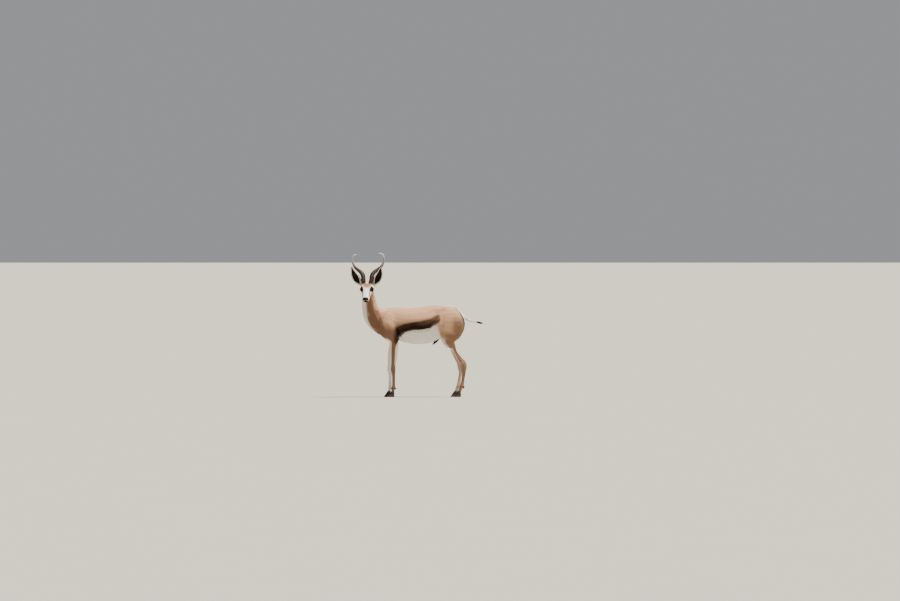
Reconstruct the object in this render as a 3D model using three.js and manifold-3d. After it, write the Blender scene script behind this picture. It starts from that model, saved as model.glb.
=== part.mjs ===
// A life-size springbok ram, standing, with its head turned to its left.
// Millimetres. The ram faces -X, its left side faces -Y, and its hooves stand on z = 0.
import * as THREE from "three";
import { mergeVertices } from "three/addons/utils/BufferGeometryUtils.js";
import Module from "manifold-3d";

const wasm = await Module();
wasm.setup();

// Driving dimensions
const WITHERS_Z = 790; // top of the back at the shoulders
const CROUP_Z = 817; // highest point of the hindquarters
const BELLY_Z = 466; // lowest point of the belly
const CHEST_X = -454; // foremost point of the chest
const RUMP_X = 418; // rearmost point of the buttocks
const BARREL_HALF_WIDTH = 110;
const GAP = 0.3; // between neighbouring pieces
const ROOM_GAP = 0.3; // round the muscles of a leg in the trunk
const GOLDEN_ANGLE = 2.4;

// Pose of the head
const HEAD_AT = new THREE.Vector3(-454, -104, 1014); // on the forehead, midway between the horns
const HEAD_YAW = THREE.MathUtils.degToRad(9.5); // from square to the left, towards the front
const HEAD_TILT = THREE.MathUtils.degToRad(36); // of the face line below level
const HEAD_ROLL = THREE.MathUtils.degToRad(0.3); // crown towards the rump
const EYE_RADIUS = 15.5;
const LID_THICKNESS = 2.6;
const EYE_AT = { forward: 70, out: 45.5, up: -27 };
const HORN_BASE_RADIUS = 20;
const HORN_STRETCH = { left: 1.05, right: 1 }; // the left horn is a little the taller
const EAR_SPLAY = { left: -5, right: 14 }; // how much further out each ear leans

// Hooves
const FRONT_FOOT = { x: -226, y: 45, coronet: 47 };
const HIND_FOOT = { x: 361, y: 52, coronet: 47 };
const CLAW_LENGTH = 60;
const FAR_FORELEG_STRIDE = -26; // how far the right hooves stand ahead of the left ones
const FAR_HIND_LEG_STRIDE = -24;

// Directions
const FORWARD = new THREE.Vector3(-1, 0, 0);
const UP = new THREE.Vector3(0, 0, 1);
const LEFT = new THREE.Vector3(0, -1, 0);

const vec = (x, y, z) => new THREE.Vector3(x, y, z);
const AXES = [vec(1, 0, 0), vec(0, 1, 0), vec(0, 0, 1)];
const { clamp, lerp, degToRad, smoothstep } = THREE.MathUtils;
const bentPower = (v, power) => Math.sign(v) * Math.abs(v) ** power;

/** A seeded source of numbers from 0 to 1, so that every build draws the same ones. */
function drawer(seed) {
  let state = seed;
  return () => {
    state = (state * 16807) % 2147483647;
    return state / 2147483647;
  };
}

/** A smooth curve through equally spaced numbers, for t from 0 to 1. */
function through(values, t) {
  const place = clamp(t, 0, 1) * (values.length - 1);
  const i = Math.min(Math.floor(place), values.length - 2);
  const u = place - i;
  const [a, b, c, d] = [i - 1, i, i + 1, i + 2].map((k) => values[clamp(k, 0, values.length - 1)]);
  const bend = (2 * a - 5 * b + 4 * c - d) * u * u + (3 * b - a - 3 * c + d) * u * u * u;
  return 0.5 * (2 * b + (c - a) * u + bend);
}

/**
 * A closed skin over rings of points. Each ring has the same count of points.
 * Ends are closed by a fan, or on a crescent ring by joining its two arcs.
 */
function loft(rings, crescent = false) {
  const n = rings[0].length;
  const points = rings.flat();
  const faces = [];
  const last = (rings.length - 1) * n;
  for (let r = 0; r < rings.length - 1; r++) {
    for (let k = 0; k < n; k++) {
      const [a, b] = [r * n + k, r * n + ((k + 1) % n)];
      faces.push([a, b, b + n], [a, b + n, a + n]);
    }
  }
  if (crescent) {
    for (let k = 0; k < n / 2 - 1; k++) {
      const [a, b, c, d] = [k, k + 1, n - 2 - k, n - 1 - k];
      faces.push([a, c, b], [a, d, c], [last + a, last + b, last + c], [last + a, last + c, last + d]);
    }
  } else {
    const middle = (ring) => ring.reduce((sum, p) => sum.add(p), vec(0, 0, 0)).divideScalar(n);
    points.push(middle(rings[0]), middle(rings.at(-1)));
    for (let k = 0; k < n; k++) {
      const next = (k + 1) % n;
      faces.push([points.length - 2, next, k], [points.length - 1, last + k, last + next]);
    }
  }
  const geometry = new THREE.BufferGeometry().setFromPoints(points).setIndex(faces.flat());
  return volumeOf(geometry) < 0 ? turnedOut(geometry) : geometry;
}

/** The volume inside a closed geometry, below 0 when its faces point inwards. */
function volumeOf(geometry) {
  const at = geometry.getAttribute("position");
  const index = geometry.index.array;
  const corner = (i) => vec().fromBufferAttribute(at, index[i]);
  let sum = 0;
  for (let i = 0; i < index.length; i += 3) {
    sum += corner(i).dot(corner(i + 1).cross(corner(i + 2)));
  }
  return sum / 6;
}

/** The same geometry with every face turned round. */
function turnedOut(geometry) {
  const index = geometry.index.array;
  for (let i = 0; i < index.length; i += 3) {
    [index[i + 1], index[i + 2]] = [index[i + 2], index[i + 1]];
  }
  return geometry;
}

/** The same closed surface with every point moved out along its normal. */
function grown(geometry, by) {
  const copy = geometry.clone();
  copy.computeVertexNormals();
  const [at, normal] = [copy.getAttribute("position"), copy.getAttribute("normal")];
  for (let i = 0; i < at.count; i++) {
    const p = vec().fromBufferAttribute(at, i);
    p.addScaledVector(vec().fromBufferAttribute(normal, i), by);
    at.setXYZ(i, p.x, p.y, p.z);
  }
  return copy;
}

/** A manifold solid from a closed geometry. */
function solid(geometry) {
  const bare = geometry.clone();
  bare.deleteAttribute("normal");
  bare.deleteAttribute("uv");
  const merged = mergeVertices(bare, 1e-3);
  return new wasm.Manifold(
    new wasm.Mesh({
      numProp: 3,
      vertProperties: new Float32Array(merged.getAttribute("position").array),
      triVerts: new Uint32Array(merged.index.array),
    }),
  );
}

const fuse = (...solids) => solids.reduce((sum, next) => sum.add(next));
const cut = (from, ...tools) => tools.reduce((rest, tool) => rest.subtract(tool), from);
const largest = (made) => made.decompose().reduce((a, b) => (a.volume() > b.volume() ? a : b));

/** A block with one face on a plane, standing ahead of it along the normal from an offset. */
function beyond(point, normal, offset) {
  const size = 3000; // more than the whole animal
  const block = new THREE.BoxGeometry(size, size, size);
  block.translate(0, 0, size / 2 + offset);
  const turn = new THREE.Quaternion().setFromUnitVectors(UP, normal.clone().normalize());
  block.applyQuaternion(turn);
  block.translate(point.x, point.y, point.z);
  return solid(block);
}

/** One body parted by a thin plane cut: the piece ahead of the plane, then the piece behind it. */
function parted(made, point, normal) {
  const ahead = cut(made, beyond(point, normal.clone().negate(), -GAP / 2));
  return [ahead, cut(made, beyond(point, normal, -GAP / 2))];
}

/** One named mesh from the largest closed surface of a solid. */
function node(name, made, finish) {
  const mesh = largest(made).getMesh();
  const geometry = new THREE.BufferGeometry();
  geometry.setAttribute("position", new THREE.BufferAttribute(new Float32Array(mesh.vertProperties), 3));
  geometry.setIndex(new THREE.BufferAttribute(new Uint32Array(mesh.triVerts), 1));
  geometry.computeVertexNormals();
  const piece = new THREE.Mesh(geometry, finish);
  piece.name = name;
  return piece;
}

// Finishes
const finish = (color, roughness) => new THREE.MeshStandardMaterial({ color, roughness, metalness: 0 });
const TAN = finish(0xc08a5c, 0.85);
const WHITE = finish(0xe8e2d8, 0.85);
const HORN = finish(0x2b2420, 0.55);
const HOOF = finish(0x1d1917, 0.5);
const EYE = finish(0x140d08, 0.1);
const BLACK_HAIR = finish(0x17120f, 0.9);

/**
 * A limb is a row of ovals: centre x, y, z, then its reach to the front, to the back and to each side.
 * facing(t) is roughly where the front of an oval looks, and bulge is 2 for an ellipse, less for a keel.
 */
function oval(limb, t) {
  const column = (i, at = t) => through(limb.rows.map((row) => row[i]), at);
  const centre = (at) => vec(column(0, at), column(1, at), column(2, at));
  const step = 0.004;
  const ahead = centre(Math.min(t + step, 1)).sub(centre(Math.max(t - step, 0)));
  const along = (limb.along ?? ahead).clone().normalize();
  const front = limb.facing(t).clone().projectOnPlane(along).normalize();
  const side = vec().crossVectors(along, front);
  return { centre: centre(t), along, front, side, reach: [column(3), column(4), column(5)] };
}

/** The points of a limb's outline at a place on it, moved along it by a shift. */
function ringAt(limb, t, shift = 0) {
  const { centre, along, front, side, reach } = oval(limb, t);
  const [bulgeFront, bulgeBack] = limb.bulge ?? [2, 2];
  return Array.from({ length: limb.sides }, (_, k) => {
    const angle = (2 * Math.PI * k) / limb.sides;
    const ahead = Math.cos(angle) >= 0;
    const power = 2 / (ahead ? bulgeFront : bulgeBack);
    const forth = (ahead ? reach[0] : reach[1]) * bentPower(Math.cos(angle), power);
    return centre
      .clone()
      .addScaledVector(front, forth)
      .addScaledVector(side, reach[2] * bentPower(Math.sin(angle), power))
      .addScaledVector(along, shift);
  });
}

/** A limb between two places on it, each end drawn in by half a gap unless the limb ends there. */
function stretch(limb, from, to, count) {
  const ringCount = Math.max(2, count);
  return loft(
    Array.from({ length: ringCount }, (_, i) => {
      const t = lerp(from, to, i / (ringCount - 1));
      const inset = i === 0 && from > 0 ? GAP / 2 : i === ringCount - 1 && to < 1 ? -GAP / 2 : 0;
      return ringAt(limb, t, inset);
    }),
  );
}

/** A flat, tapered lock of hair from root, along a direction, bending towards sag. */
function lock({ root, along, sag, length, width, thickness, flat }) {
  const steps = 3;
  const rings = [];
  for (let i = 0; i <= steps; i++) {
    const t = i / steps;
    const centre = root.clone().addScaledVector(along, length * t).addScaledVector(sag, length * t * t);
    const path = along.clone().addScaledVector(sag, 2 * t).normalize();
    const across = vec().crossVectors(path, flat).normalize();
    const out = vec().crossVectors(across, path).normalize();
    const taper = 0.06 + 0.94 * Math.sin(Math.PI * (0.28 + 0.72 * t)) ** 0.8;
    const [w, h] = [(width / 2) * taper, (thickness / 2) * taper];
    rings.push([
      centre.clone().addScaledVector(across, w),
      centre.clone().addScaledVector(out, h),
      centre.clone().addScaledVector(across, -w),
      centre.clone().addScaledVector(out, -h),
    ]);
  }
  return solid(loft(rings));
}

/** An egg: radii along three directions, with its centre. */
function egg(centre, radii, axes, detail = 8) {
  const geometry = new THREE.SphereGeometry(1, detail * 2, detail);
  const frame = new THREE.Matrix4().makeBasis(...axes);
  geometry.applyMatrix4(new THREE.Matrix4().makeScale(...radii));
  geometry.applyMatrix4(frame);
  geometry.translate(centre.x, centre.y, centre.z);
  return solid(geometry);
}

// Torso: up, down and side from the level of the widest line, by station along x
const torso = {
  along: FORWARD.clone().negate(),
  facing: () => UP,
  bulge: [1.86, 2.12],
  sides: 22,
  rows: [
    [CHEST_X, 0, 656, 15, 18, 12],
    [-434, 0, 664, 50, 56, 38],
    [-390, 0, 670, 90, 93, 62],
    [-335, 0, 666, 110, 126, 76],
    [-270, 0, 660, 124, 131, 84],
    [-195, 0, 649, WITHERS_Z - 647, 147, 91],
    [-120, 0, 640, 149, 159, 100],
    [-40, 0, 632, 154, 632 - BELLY_Z, 0.99 * BARREL_HALF_WIDTH],
    [40, 0, 634, 161, 634 - BELLY_Z, BARREL_HALF_WIDTH],
    [110, 0, 645, 162, 170, 104],
    [170, 0, 660, 154, 160, 95],
    [230, 0, 675, CROUP_Z - 675, 145, 88],
    [290, 0, 690, 121, 128, 82],
    [342, 0, 695, 90, 128, 72],
    [380, 0, 688, 64, 118, 60],
    [404, 0, 676, 50, 92, 44],
    [RUMP_X, 0, 660, 20, 36, 16],
  ],
};

// Left legs: front, back and side reach, from the top of the muscle down to the coronet
const foreleg = {
  facing: () => FORWARD,
  sides: 14,
  rows: [
    [-262, -42, 764, 18, 18, 8],
    [-266, -56, 738, 50, 54, 23],
    [-280, -66, 692, 70, 72, 31],
    [-288, -70, 640, 80, 84, 34],
    [-270, -72, 590, 82, 82, 34],
    [-243, -70, 545, 62, 60, 32],
    [-221, -67, 508, 42, 42, 29],
    [-208, -64, 475, 33, 34, 26],
    [-209, -59, 436, 31, 30, 25],
    [-211, -55, 388, 29, 28, 23],
    [-215, -51, 335, 25, 25, 20.5],
    [-219, -49, 285, 21, 21, 18.5],
    [-221, -48, 259, 22, 21, 19.5],
    [-222, -47, 236, 21, 21, 20],
    [-220, -46, 213, 16.5, 17, 16],
    [-219, -45, 188, 14.5, 15.5, 13],
    [-219, -45, 138, 13.5, 15, 12],
    [-219, -45, 104, 14.5, 16, 13],
    [-219, -45, 86, 16, 19, 16.5],
    [-222, -45, 66, 13.5, 14, 14.5],
    [FRONT_FOOT.x, -FRONT_FOOT.y, FRONT_FOOT.coronet, 15, 15, 16.5],
  ],
  joints: { upper: 7 / 20, middle: 12.1 / 20, fetlock: 18.9 / 20 },
  upright: 340, // height below which the far leg keeps its whole stride
};

const hindLeg = {
  facing: () => FORWARD,
  sides: 14,
  rows: [
    [300, -36, 776, 38, 38, 12],
    [302, -52, 746, 84, 74, 28],
    [300, -63, 700, 110, 106, 38],
    [296, -70, 650, 121, 119, 43],
    [290, -73, 600, 114, 113, 43],
    [280, -74, 553, 96, 97, 40],
    [272, -73, 510, 72, 75, 35],
    [276, -72, 472, 48, 56, 30],
    [303, -70, 440, 22, 27, 25],
    [318, -68, 402, 17, 19, 20],
    [341, -66, 366, 19, 22, 18],
    [364, -64, 331, 22, 25, 19],
    [387, -62, 303, 28, 31, 21],
    [397, -61, 275, 31, 31, 22],
    [398, -60, 248, 24, 26, 19],
    [400, -59, 213, 16, 18, 15],
    [394, -57, 165, 13.5, 15, 13],
    [387, -55, 122, 14.5, 17, 14],
    [383, -54, 100, 17, 20, 17.5],
    [374, -53, 78, 14.5, 15, 15.5],
    [HIND_FOOT.x, -HIND_FOOT.y, HIND_FOOT.coronet, 15.5, 16, 17.5],
  ],
  joints: { upper: 7.4 / 20, middle: 12.6 / 20, fetlock: 18.9 / 20 },
  upright: 120,
};

// Neck: from inside the chest to the back of the head
const neck = {
  facing: () => FORWARD,
  bulge: [2.1, 1.9],
  sides: 20,
  rows: [
    [-318, 0, 668, 92, 80, 50],
    [-362, 0, 700, 112, 84, 62],
    [-396, 0, 742, 100, 74, 58],
    [-416, -2, 790, 83, 63, 53],
    [-428, -6, 840, 70, 58, 50],
    [-438, -11, 890, 60, 56, 49],
    [-446, -18, 934, 54, 52, 49],
    [-453, -28, 972, 50, 48, 49],
    [-457, -37, 998, 43, 42, 40],
    [-459, -43, 1014, 24, 23, 21],
  ],
};

// Head, in its own frame: x to the nose, y to its left, z out of the forehead
const headFrame = new THREE.Matrix4().makeTranslation(HEAD_AT);
headFrame.multiply(new THREE.Matrix4().makeRotationZ(HEAD_YAW * -1));
headFrame.multiply(new THREE.Matrix4().makeRotationY(HEAD_ROLL));
headFrame.multiply(
  new THREE.Matrix4().makeBasis(
    vec(0, -Math.cos(HEAD_TILT), -Math.sin(HEAD_TILT)),
    vec(1, 0, 0),
    vec(0, -Math.sin(HEAD_TILT), Math.cos(HEAD_TILT)),
  ),
);

const skull = {
  along: vec(1, 0, 0),
  facing: () => UP,
  bulge: [2.15, 1.85],
  sides: 26,
  rows: [
    [-72, 0, -80, 8, 8, 9],
    [-62, 0, -76, 22, 22, 25],
    [-42, 0, -66, 36, 36, 40],
    [-18, 0, -52, 45, 50, 50],
    [10, 0, -46, 46, 58, 53],
    [38, 0, -44, 42, 60, 54],
    [66, 0, -43, 36, 57, 52],
    [94, 0, -43, 30, 50, 47],
    [122, 0, -45, 26.5, 42, 40],
    [148, 0, -47, 25, 38, 33],
    [170, 0, -50, 25.5, 35.5, 29.5],
    [188, 0, -52, 25, 31, 28],
    [201, 0, -52, 21, 25.5, 24.5],
    [208, 0, -51, 14, 18, 17],
    [211, 0, -50, 4, 5, 6],
  ],
};

// Where the skull swells or sinks, on both sides: how far it reaches and how high it stands
const SWELLINGS = [
  { at: vec(68, 52, -28), reach: vec(31, 24, 25), height: 10.5 }, // socket of the eye
  { at: vec(60, 40, -10), reach: vec(28, 18, 15), height: 6 }, // brow
  { at: vec(24, 44, -74), reach: vec(42, 30, 30), height: 7 }, // angle of the jaw
  { at: vec(104, 36, -56), reach: vec(24, 20, 18), height: -3 }, // hollow ahead of the cheek
  { at: vec(-16, 44, -52), reach: vec(20, 22, 22), height: 9 }, // root of the ear
  { at: vec(2, 34, -8), reach: vec(22, 18, 18), height: 5 }, // foot of the horn
  { at: vec(191, 22, -44), reach: vec(15, 14, 13), height: 4 }, // wing of the nostril
  { at: vec(178, 14, -82), reach: vec(17, 16, 12), height: 3.5 }, // chin
];

/** A tube along a curve, drawn in to a blunt point at both ends. */
function tube(points, radius, sides, steps) {
  const curve = new THREE.CatmullRomCurve3(points);
  const rings = Array.from({ length: steps + 1 }, (_, i) => {
    const t = i / steps;
    const along = curve.getTangentAt(t);
    const out = UP.clone().projectOnPlane(along).normalize();
    const side = vec().crossVectors(along, out);
    const r = radius * Math.max(0.15, Math.sqrt(1 - (2 * t - 1) ** 4));
    return Array.from({ length: sides }, (_, k) => {
      const angle = (2 * Math.PI * k) / sides;
      const centre = curve.getPointAt(t);
      return centre.addScaledVector(out, r * Math.cos(angle)).addScaledVector(side, r * Math.sin(angle));
    });
  });
  return solid(loft(rings));
}

const extruded = (outline, depth) =>
  new THREE.ExtrudeGeometry(new THREE.Shape(outline), { depth, bevelEnabled: false });

/** A plug through the lids on one side, in the shape of their opening: an almond that dips to the nose. */
function lidOpening(sign) {
  const { long, high, dip, points } = { long: 13.6, high: 8.6, dip: degToRad(16), points: 14 };
  const outline = Array.from({ length: points }, (_, k) => {
    const angle = (2 * Math.PI * k) / points;
    return new THREE.Vector2(long * Math.cos(angle), high * bentPower(Math.sin(angle), 1.2));
  });
  const plug = extruded(outline, 30);
  const out = vec(0.3, sign, 0.16).normalize();
  const length = vec(Math.cos(dip), 0, -Math.sin(dip)).projectOnPlane(out).normalize();
  plug.applyMatrix4(new THREE.Matrix4().makeBasis(length, vec().crossVectors(out, length), out));
  plug.translate(EYE_AT.forward, sign * EYE_AT.out, EYE_AT.up);
  return solid(plug);
}

/** A ball in the place of one eye. */
function eyeBall(sign, radius, detail) {
  const ball = new THREE.SphereGeometry(radius, detail * 2, detail);
  ball.translate(EYE_AT.forward, sign * EYE_AT.out, EYE_AT.up);
  return solid(ball);
}

/** A lip that runs from one corner of the mouth round to the other, from points on the left side. */
function lip(left, radius) {
  const right = left.map((p) => vec(p.x, -p.y, p.z)).reverse();
  return tube([...left, ...right], radius, 6, 13);
}

/** The line of the mouth: a thin slot that runs from one corner round the lips to the other. */
function mouthSlot() {
  const [depth, half] = [3.2, 0.7];
  const line = [
    [127, -54],
    [136, -59],
    [150, -63],
    [218, -63.5],
  ];
  const above = line.map(([x, z]) => new THREE.Vector2(x, z + half));
  const below = line.map(([x, z]) => new THREE.Vector2(x, z - half)).reverse();
  const slab = extruded([...above, ...below], 90);
  slab.rotateX(Math.PI / 2);
  slab.translate(0, 45, 0);
  return cut(solid(slab), solid(grown(stretch(skull, 0.55, 1, 8), -depth)));
}

/** The skull drawn out along its normals at each of its swellings. */
function swelledSkull() {
  const geometry = stretch(skull, 0, 1, 30);
  geometry.computeVertexNormals();
  const [at, normal] = [geometry.getAttribute("position"), geometry.getAttribute("normal")];
  for (let i = 0; i < at.count; i++) {
    const p = vec().fromBufferAttribute(at, i);
    const place = vec(p.x, Math.abs(p.y), p.z);
    const lift = SWELLINGS.reduce((sum, { at: centre, reach, height }) => {
      const away = place.clone().sub(centre).divide(reach);
      return sum + height * Math.exp(-away.lengthSq());
    }, 0);
    p.addScaledVector(vec().fromBufferAttribute(normal, i), lift);
    at.setXYZ(i, p.x, p.y, p.z);
  }
  return geometry;
}

/** The skull and the round of the lids, made bigger all round by a margin. */
function headMass(margin) {
  const lids = [-1, 1].map((sign) => eyeBall(sign, EYE_RADIUS + LID_THICKNESS + margin, 9));
  return fuse(solid(grown(swelledSkull(), margin)), ...lids);
}

function buildHead() {
  const upperLip = [vec(128, 29, -50.5), vec(150, 29, -57.5), vec(179, 26.5, -58.5), vec(201, 15.5, -58)];
  const lowerLip = [vec(126, 27.5, -60), vec(147, 27.5, -68), vec(173, 24, -69), vec(194, 12.5, -68)];
  let head = fuse(headMass(0), lip(upperLip, 3.9), lip(lowerLip, 3.5));
  head = cut(head, mouthSlot());
  for (const sign of [-1, 1]) {
    const slant = new THREE.Matrix4().makeRotationZ(sign * degToRad(28));
    const nostrilAxes = AXES.map((axis) => axis.clone().applyMatrix4(slant));
    const nostril = egg(vec(204, sign * 15, -42), [12, 3.6, 5.4], nostrilAxes, 5);
    head = cut(head, nostril, lidOpening(sign), eyeBall(sign, EYE_RADIUS + GAP, 8));
  }
  return head.transform(headFrame.toArray());
}

// Straight up and straight back, seen from the head
const RISE = vec(-Math.sin(HEAD_TILT), 0, Math.cos(HEAD_TILT));
const BACK = vec(-Math.cos(HEAD_TILT), 0, -Math.sin(HEAD_TILT));
const onHead = (out, up, behind) => vec(0, out, 0).addScaledVector(RISE, up).addScaledVector(BACK, behind);

/** A horn, ringed on its lower two thirds, as a row of ovals: out, rise and back from the forehead. */
function buildHorn(side) {
  const sign = side === "left" ? 1 : -1;
  const path = [
    [32, -24, 6],
    [34, 0, 4],
    [36.5, 31, 9],
    [42, 60, 18],
    [60, 84, 32],
    [87, 105, 46],
    [114, 127, 58],
    [131, 154, 66],
    [140, 186, 68],
    [138, 212, 62],
    [127, 232, 52],
    [112, 240, 43],
    [97, 239, 35],
  ];
  const radii = [19, 1, 1.02, 0.98, 0.86, 0.72, 0.59, 0.48, 0.39, 0.31, 0.23, 0.15, 0.06];
  const rows = path.map(([out, up, behind], i) => {
    const p = onHead(sign * out, up * HORN_STRETCH[side], behind);
    const radius = i === 0 ? radii[0] : radii[i] * HORN_BASE_RADIUS;
    return [p.x, p.y, p.z, radius * 1.06, radius * 1.06, radius * 0.95];
  });
  const horn = { facing: () => vec(1, 0, 0), sides: 10, rows };
  const ridges = { count: 17, first: 0.08, last: 0.68, height: 0.085 }; // height as a share of the radius
  const pitch = (ridges.last - ridges.first) / ridges.count;
  const rings = [ringAt(horn, 0)];
  for (let i = 0; i < ridges.count; i++) {
    const t = lerp(ridges.first, ridges.last, (i / (ridges.count - 1)) ** 0.92);
    const [groove, crest] = [1 - ridges.height * 0.3, 1 + ridges.height];
    rings.push(swollen(horn, t, groove), swollen(horn, t + pitch * 0.62, crest));
  }
  for (const t of [0.74, 0.79, 0.84, 0.89, 0.93, 0.97, 1]) {
    rings.push(ringAt(horn, t));
  }
  return solid(loft(rings).applyMatrix4(headFrame));
}

/** A ring of a limb made larger about its centre. */
function swollen(limb, t, factor) {
  const { centre } = oval(limb, t);
  return ringAt(limb, t).map((p) => p.sub(centre).multiplyScalar(factor).add(centre));
}

/** An ear: a leaf rolled round an opening that looks ahead and a little out, along out, rise and back. */
function buildEar(side) {
  const sign = side === "left" ? 1 : -1;
  const arcSteps = 8;
  const path = [
    [47, -32, 49],
    [65, -9, 44],
    [83, 16, 35],
    [99, 44, 25],
    [112, 74, 13],
    [121, 105, 4],
    [127, 136, -4],
  ].map(([out, up, behind], i) => onHead(sign * (out + EAR_SPLAY[side] * Math.sqrt(i / 6)), up, behind));
  const halfWidth = [15, 20.5, 28, 33.5, 35, 33, 28.5, 21.5, 12.5, 2];
  const wrap = [165, 155, 136, 116, 103, 94, 87, 81, 76, 70].map(degToRad);
  const curve = new THREE.CatmullRomCurve3(path);
  const looks = BACK.clone().negate().add(vec(0, sign * 0.3, 0));
  const rings = halfWidth.map((half, i) => {
    const t = i / (halfWidth.length - 1);
    const along = curve.getTangentAt(t);
    const opening = looks.clone().projectOnPlane(along).normalize();
    const across = vec().crossVectors(along, opening);
    const centre = curve.getPointAt(t);
    const thick = lerp(3.6, 1.6, t);
    const arc = (radius, flip) =>
      Array.from({ length: arcSteps + 1 }, (_, k) => {
        const angle = lerp(-wrap[i], wrap[i], (flip ? arcSteps - k : k) / arcSteps);
        return centre
          .clone()
          .addScaledVector(opening, -radius * 0.7 * Math.cos(angle))
          .addScaledVector(across, radius * Math.sin(angle));
      });
    return [...arc(half, false), ...arc(Math.max(half - thick, half * 0.45), true)];
  });
  return solid(loft(rings, true).applyMatrix4(headFrame));
}

/** One claw of a hoof: pointed ahead, upright inside, with a flat sole. */
function claw(foot, sign) {
  const [cleft, points, noseTaper] = [1.6, 10, 0.45];
  const toeLength = 0.74 * CLAW_LENGTH;
  const levels = [
    { z: 0, toe: 1, heel: 0.34, half: 9.4 },
    { z: 7, toe: 0.93, heel: 0.37, half: 10 },
    { z: 22, toe: 0.72, heel: 0.36, half: 9.8 },
    { z: 38, toe: 0.47, heel: 0.33, half: 9 },
    { z: 52, toe: 0.26, heel: 0.24, half: 7.4 },
  ];
  const rings = levels.map(({ z, toe, heel, half }) =>
    Array.from({ length: points }, (_, k) => {
      const angle = (2 * Math.PI * k) / points;
      const ahead = Math.max(Math.cos(angle), 0);
      const reach = toeLength * (ahead > 0 ? toe : heel);
      const width = half * (1 - noseTaper * ahead ** 2);
      const y = foot.y + sign * (cleft + half) + width * Math.sin(angle);
      return vec(foot.x - 2 - reach * bentPower(Math.cos(angle), 1.05), y, z);
    }),
  );
  return solid(loft(rings));
}

/** A foot: the end of the pastern and its two claws. */
function buildFoot(limb, foot, shiftX) {
  const at = { x: foot.x + shiftX, y: -foot.y };
  const pastern = solid(stretch(limb, limb.joints.fetlock, 1, 3));
  return fuse(pastern, claw(at, 1), claw(at, -1));
}

/** The same limb with its lower end moved along x, the shift growing from the top of the leg down. */
function strode(limb, stride) {
  const top = 560;
  const shift = (z) => stride * smoothstep(top - z, 0, top - limb.upright);
  return { ...limb, rows: limb.rows.map((row) => [row[0] + shift(row[2]), ...row.slice(1)]) };
}

/** The two small claws behind the fetlock. */
function dewclaws(limb, t) {
  const { centre, front } = oval(limb, t);
  const [behind, apart, below] = [19, 9, 7];
  const at = (sign) => centre.clone().addScaledVector(front, -behind).add(vec(0, sign * apart, -below));
  return fuse(...[-1, 1].map((sign) => egg(at(sign), [7, 5, 9], AXES, 3)));
}

/** The whole of one leg, parted where it bends, and the room that its muscle takes in the trunk. */
function buildLeg(limb, foot, side, stride) {
  const leg = strode(limb, stride);
  const { upper, middle, fetlock } = leg.joints;
  const muscles = [stretch(leg, 0, upper, 12), stretch(leg, upper, middle, 9)];
  const cannon = fuse(solid(stretch(leg, middle, fetlock, 9)), dewclaws(leg, fetlock - 0.03));
  const pieces = [...muscles.map(solid), cannon, buildFoot(leg, foot, stride)];
  const room = fuse(...muscles.map((muscle) => solid(grown(muscle, ROOM_GAP))));
  const placed = (made) => (side === "left" ? made : made.mirror([0, 1, 0]));
  return { pieces: pieces.map(placed), room: placed(room) };
}

// Tail: swung out behind, with its root between the buttocks
const tail = {
  facing: () => LEFT,
  sides: 8,
  rows: [
    [384, 0, 712, 13, 13, 16],
    [408, 0, 703, 13, 13, 14],
    [440, -2, 683, 11, 11, 10],
    [472, -5, 671, 9, 9, 8],
    [502, -8, 664, 7.5, 7.5, 6.5],
    [528, -10, 659, 6, 6, 5.5],
    [548, -11, 655, 2.5, 2.5, 2.5],
  ],
};
const TUFT_FROM = 0.72; // along the tail: where the black tuft begins

/** Locks rooted round the tail between two places on it, trailing along it. */
function tailHair({ from, to, count, length, width, spread, droop, seed }) {
  const draw = drawer(seed);
  return Array.from({ length: count }, (_, i) => {
    const t = lerp(from, to, (i + 0.5 * draw()) / count);
    const { centre, along, front, side, reach } = oval(tail, t);
    const angle = i * GOLDEN_ANGLE + draw();
    const out = front.clone().multiplyScalar(Math.cos(angle)).addScaledVector(side, Math.sin(angle));
    return lock({
      root: centre.clone().addScaledVector(out, reach[0] * 0.45),
      along: along.clone().addScaledVector(out, spread).normalize(),
      sag: out.clone().multiplyScalar(-0.4 * spread).addScaledVector(UP, -droop),
      length: length * lerp(0.82, 1.08, draw()),
      width: width * lerp(0.85, 1.15, draw()),
      thickness: 4,
      flat: out,
    });
  });
}

/** Long white hair of the closed fold on the croup, lying back. */
function croupHair() {
  const draw = drawer(7);
  const [first, last, count] = [0.665, 0.9, 9];
  return Array.from({ length: count }, (_, i) => {
    const t = lerp(first, last, i / (count - 1));
    const [here, next] = [oval(torso, t), oval(torso, t + 0.01)];
    const top = ({ centre, reach }) => centre.z + reach[0];
    const slope = vec(next.centre.x - here.centre.x, 0, top(next) - top(here)).normalize();
    const normal = vec(-slope.z, 0, slope.x);
    const side = (i % 2 ? 1 : -1) * lerp(3, 9, draw());
    return lock({
      root: vec(here.centre.x, side, top(here) - 7),
      along: slope.clone().addScaledVector(normal, 0.2).normalize(),
      sag: normal.clone().multiplyScalar(-0.17).add(vec(0, side * 0.008, 0)),
      length: lerp(48, 62, draw()),
      width: lerp(17, 22, draw()),
      thickness: 5,
      flat: normal,
    });
  });
}

/** The sheath under the belly and the dark tuft that it ends in. */
function sheath() {
  const [x, z, slant] = [158, 500, degToRad(38)];
  const along = vec(-Math.cos(slant), 0, -Math.sin(slant));
  const axes = [along, LEFT.clone().negate(), vec().crossVectors(along, LEFT.clone().negate())];
  const hair = [-1, 0, 1].map((k) =>
    lock({
      root: vec(x - 8, 2.5 * k, z - 3),
      along,
      sag: vec(0, 0.08 * k, -0.1),
      length: 32,
      width: 9,
      thickness: 5,
      flat: vec(0.3, k, 1).normalize(),
    }),
  );
  return fuse(egg(vec(x, 0, z), [26, 10, 12], axes, 5), ...hair);
}

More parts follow.
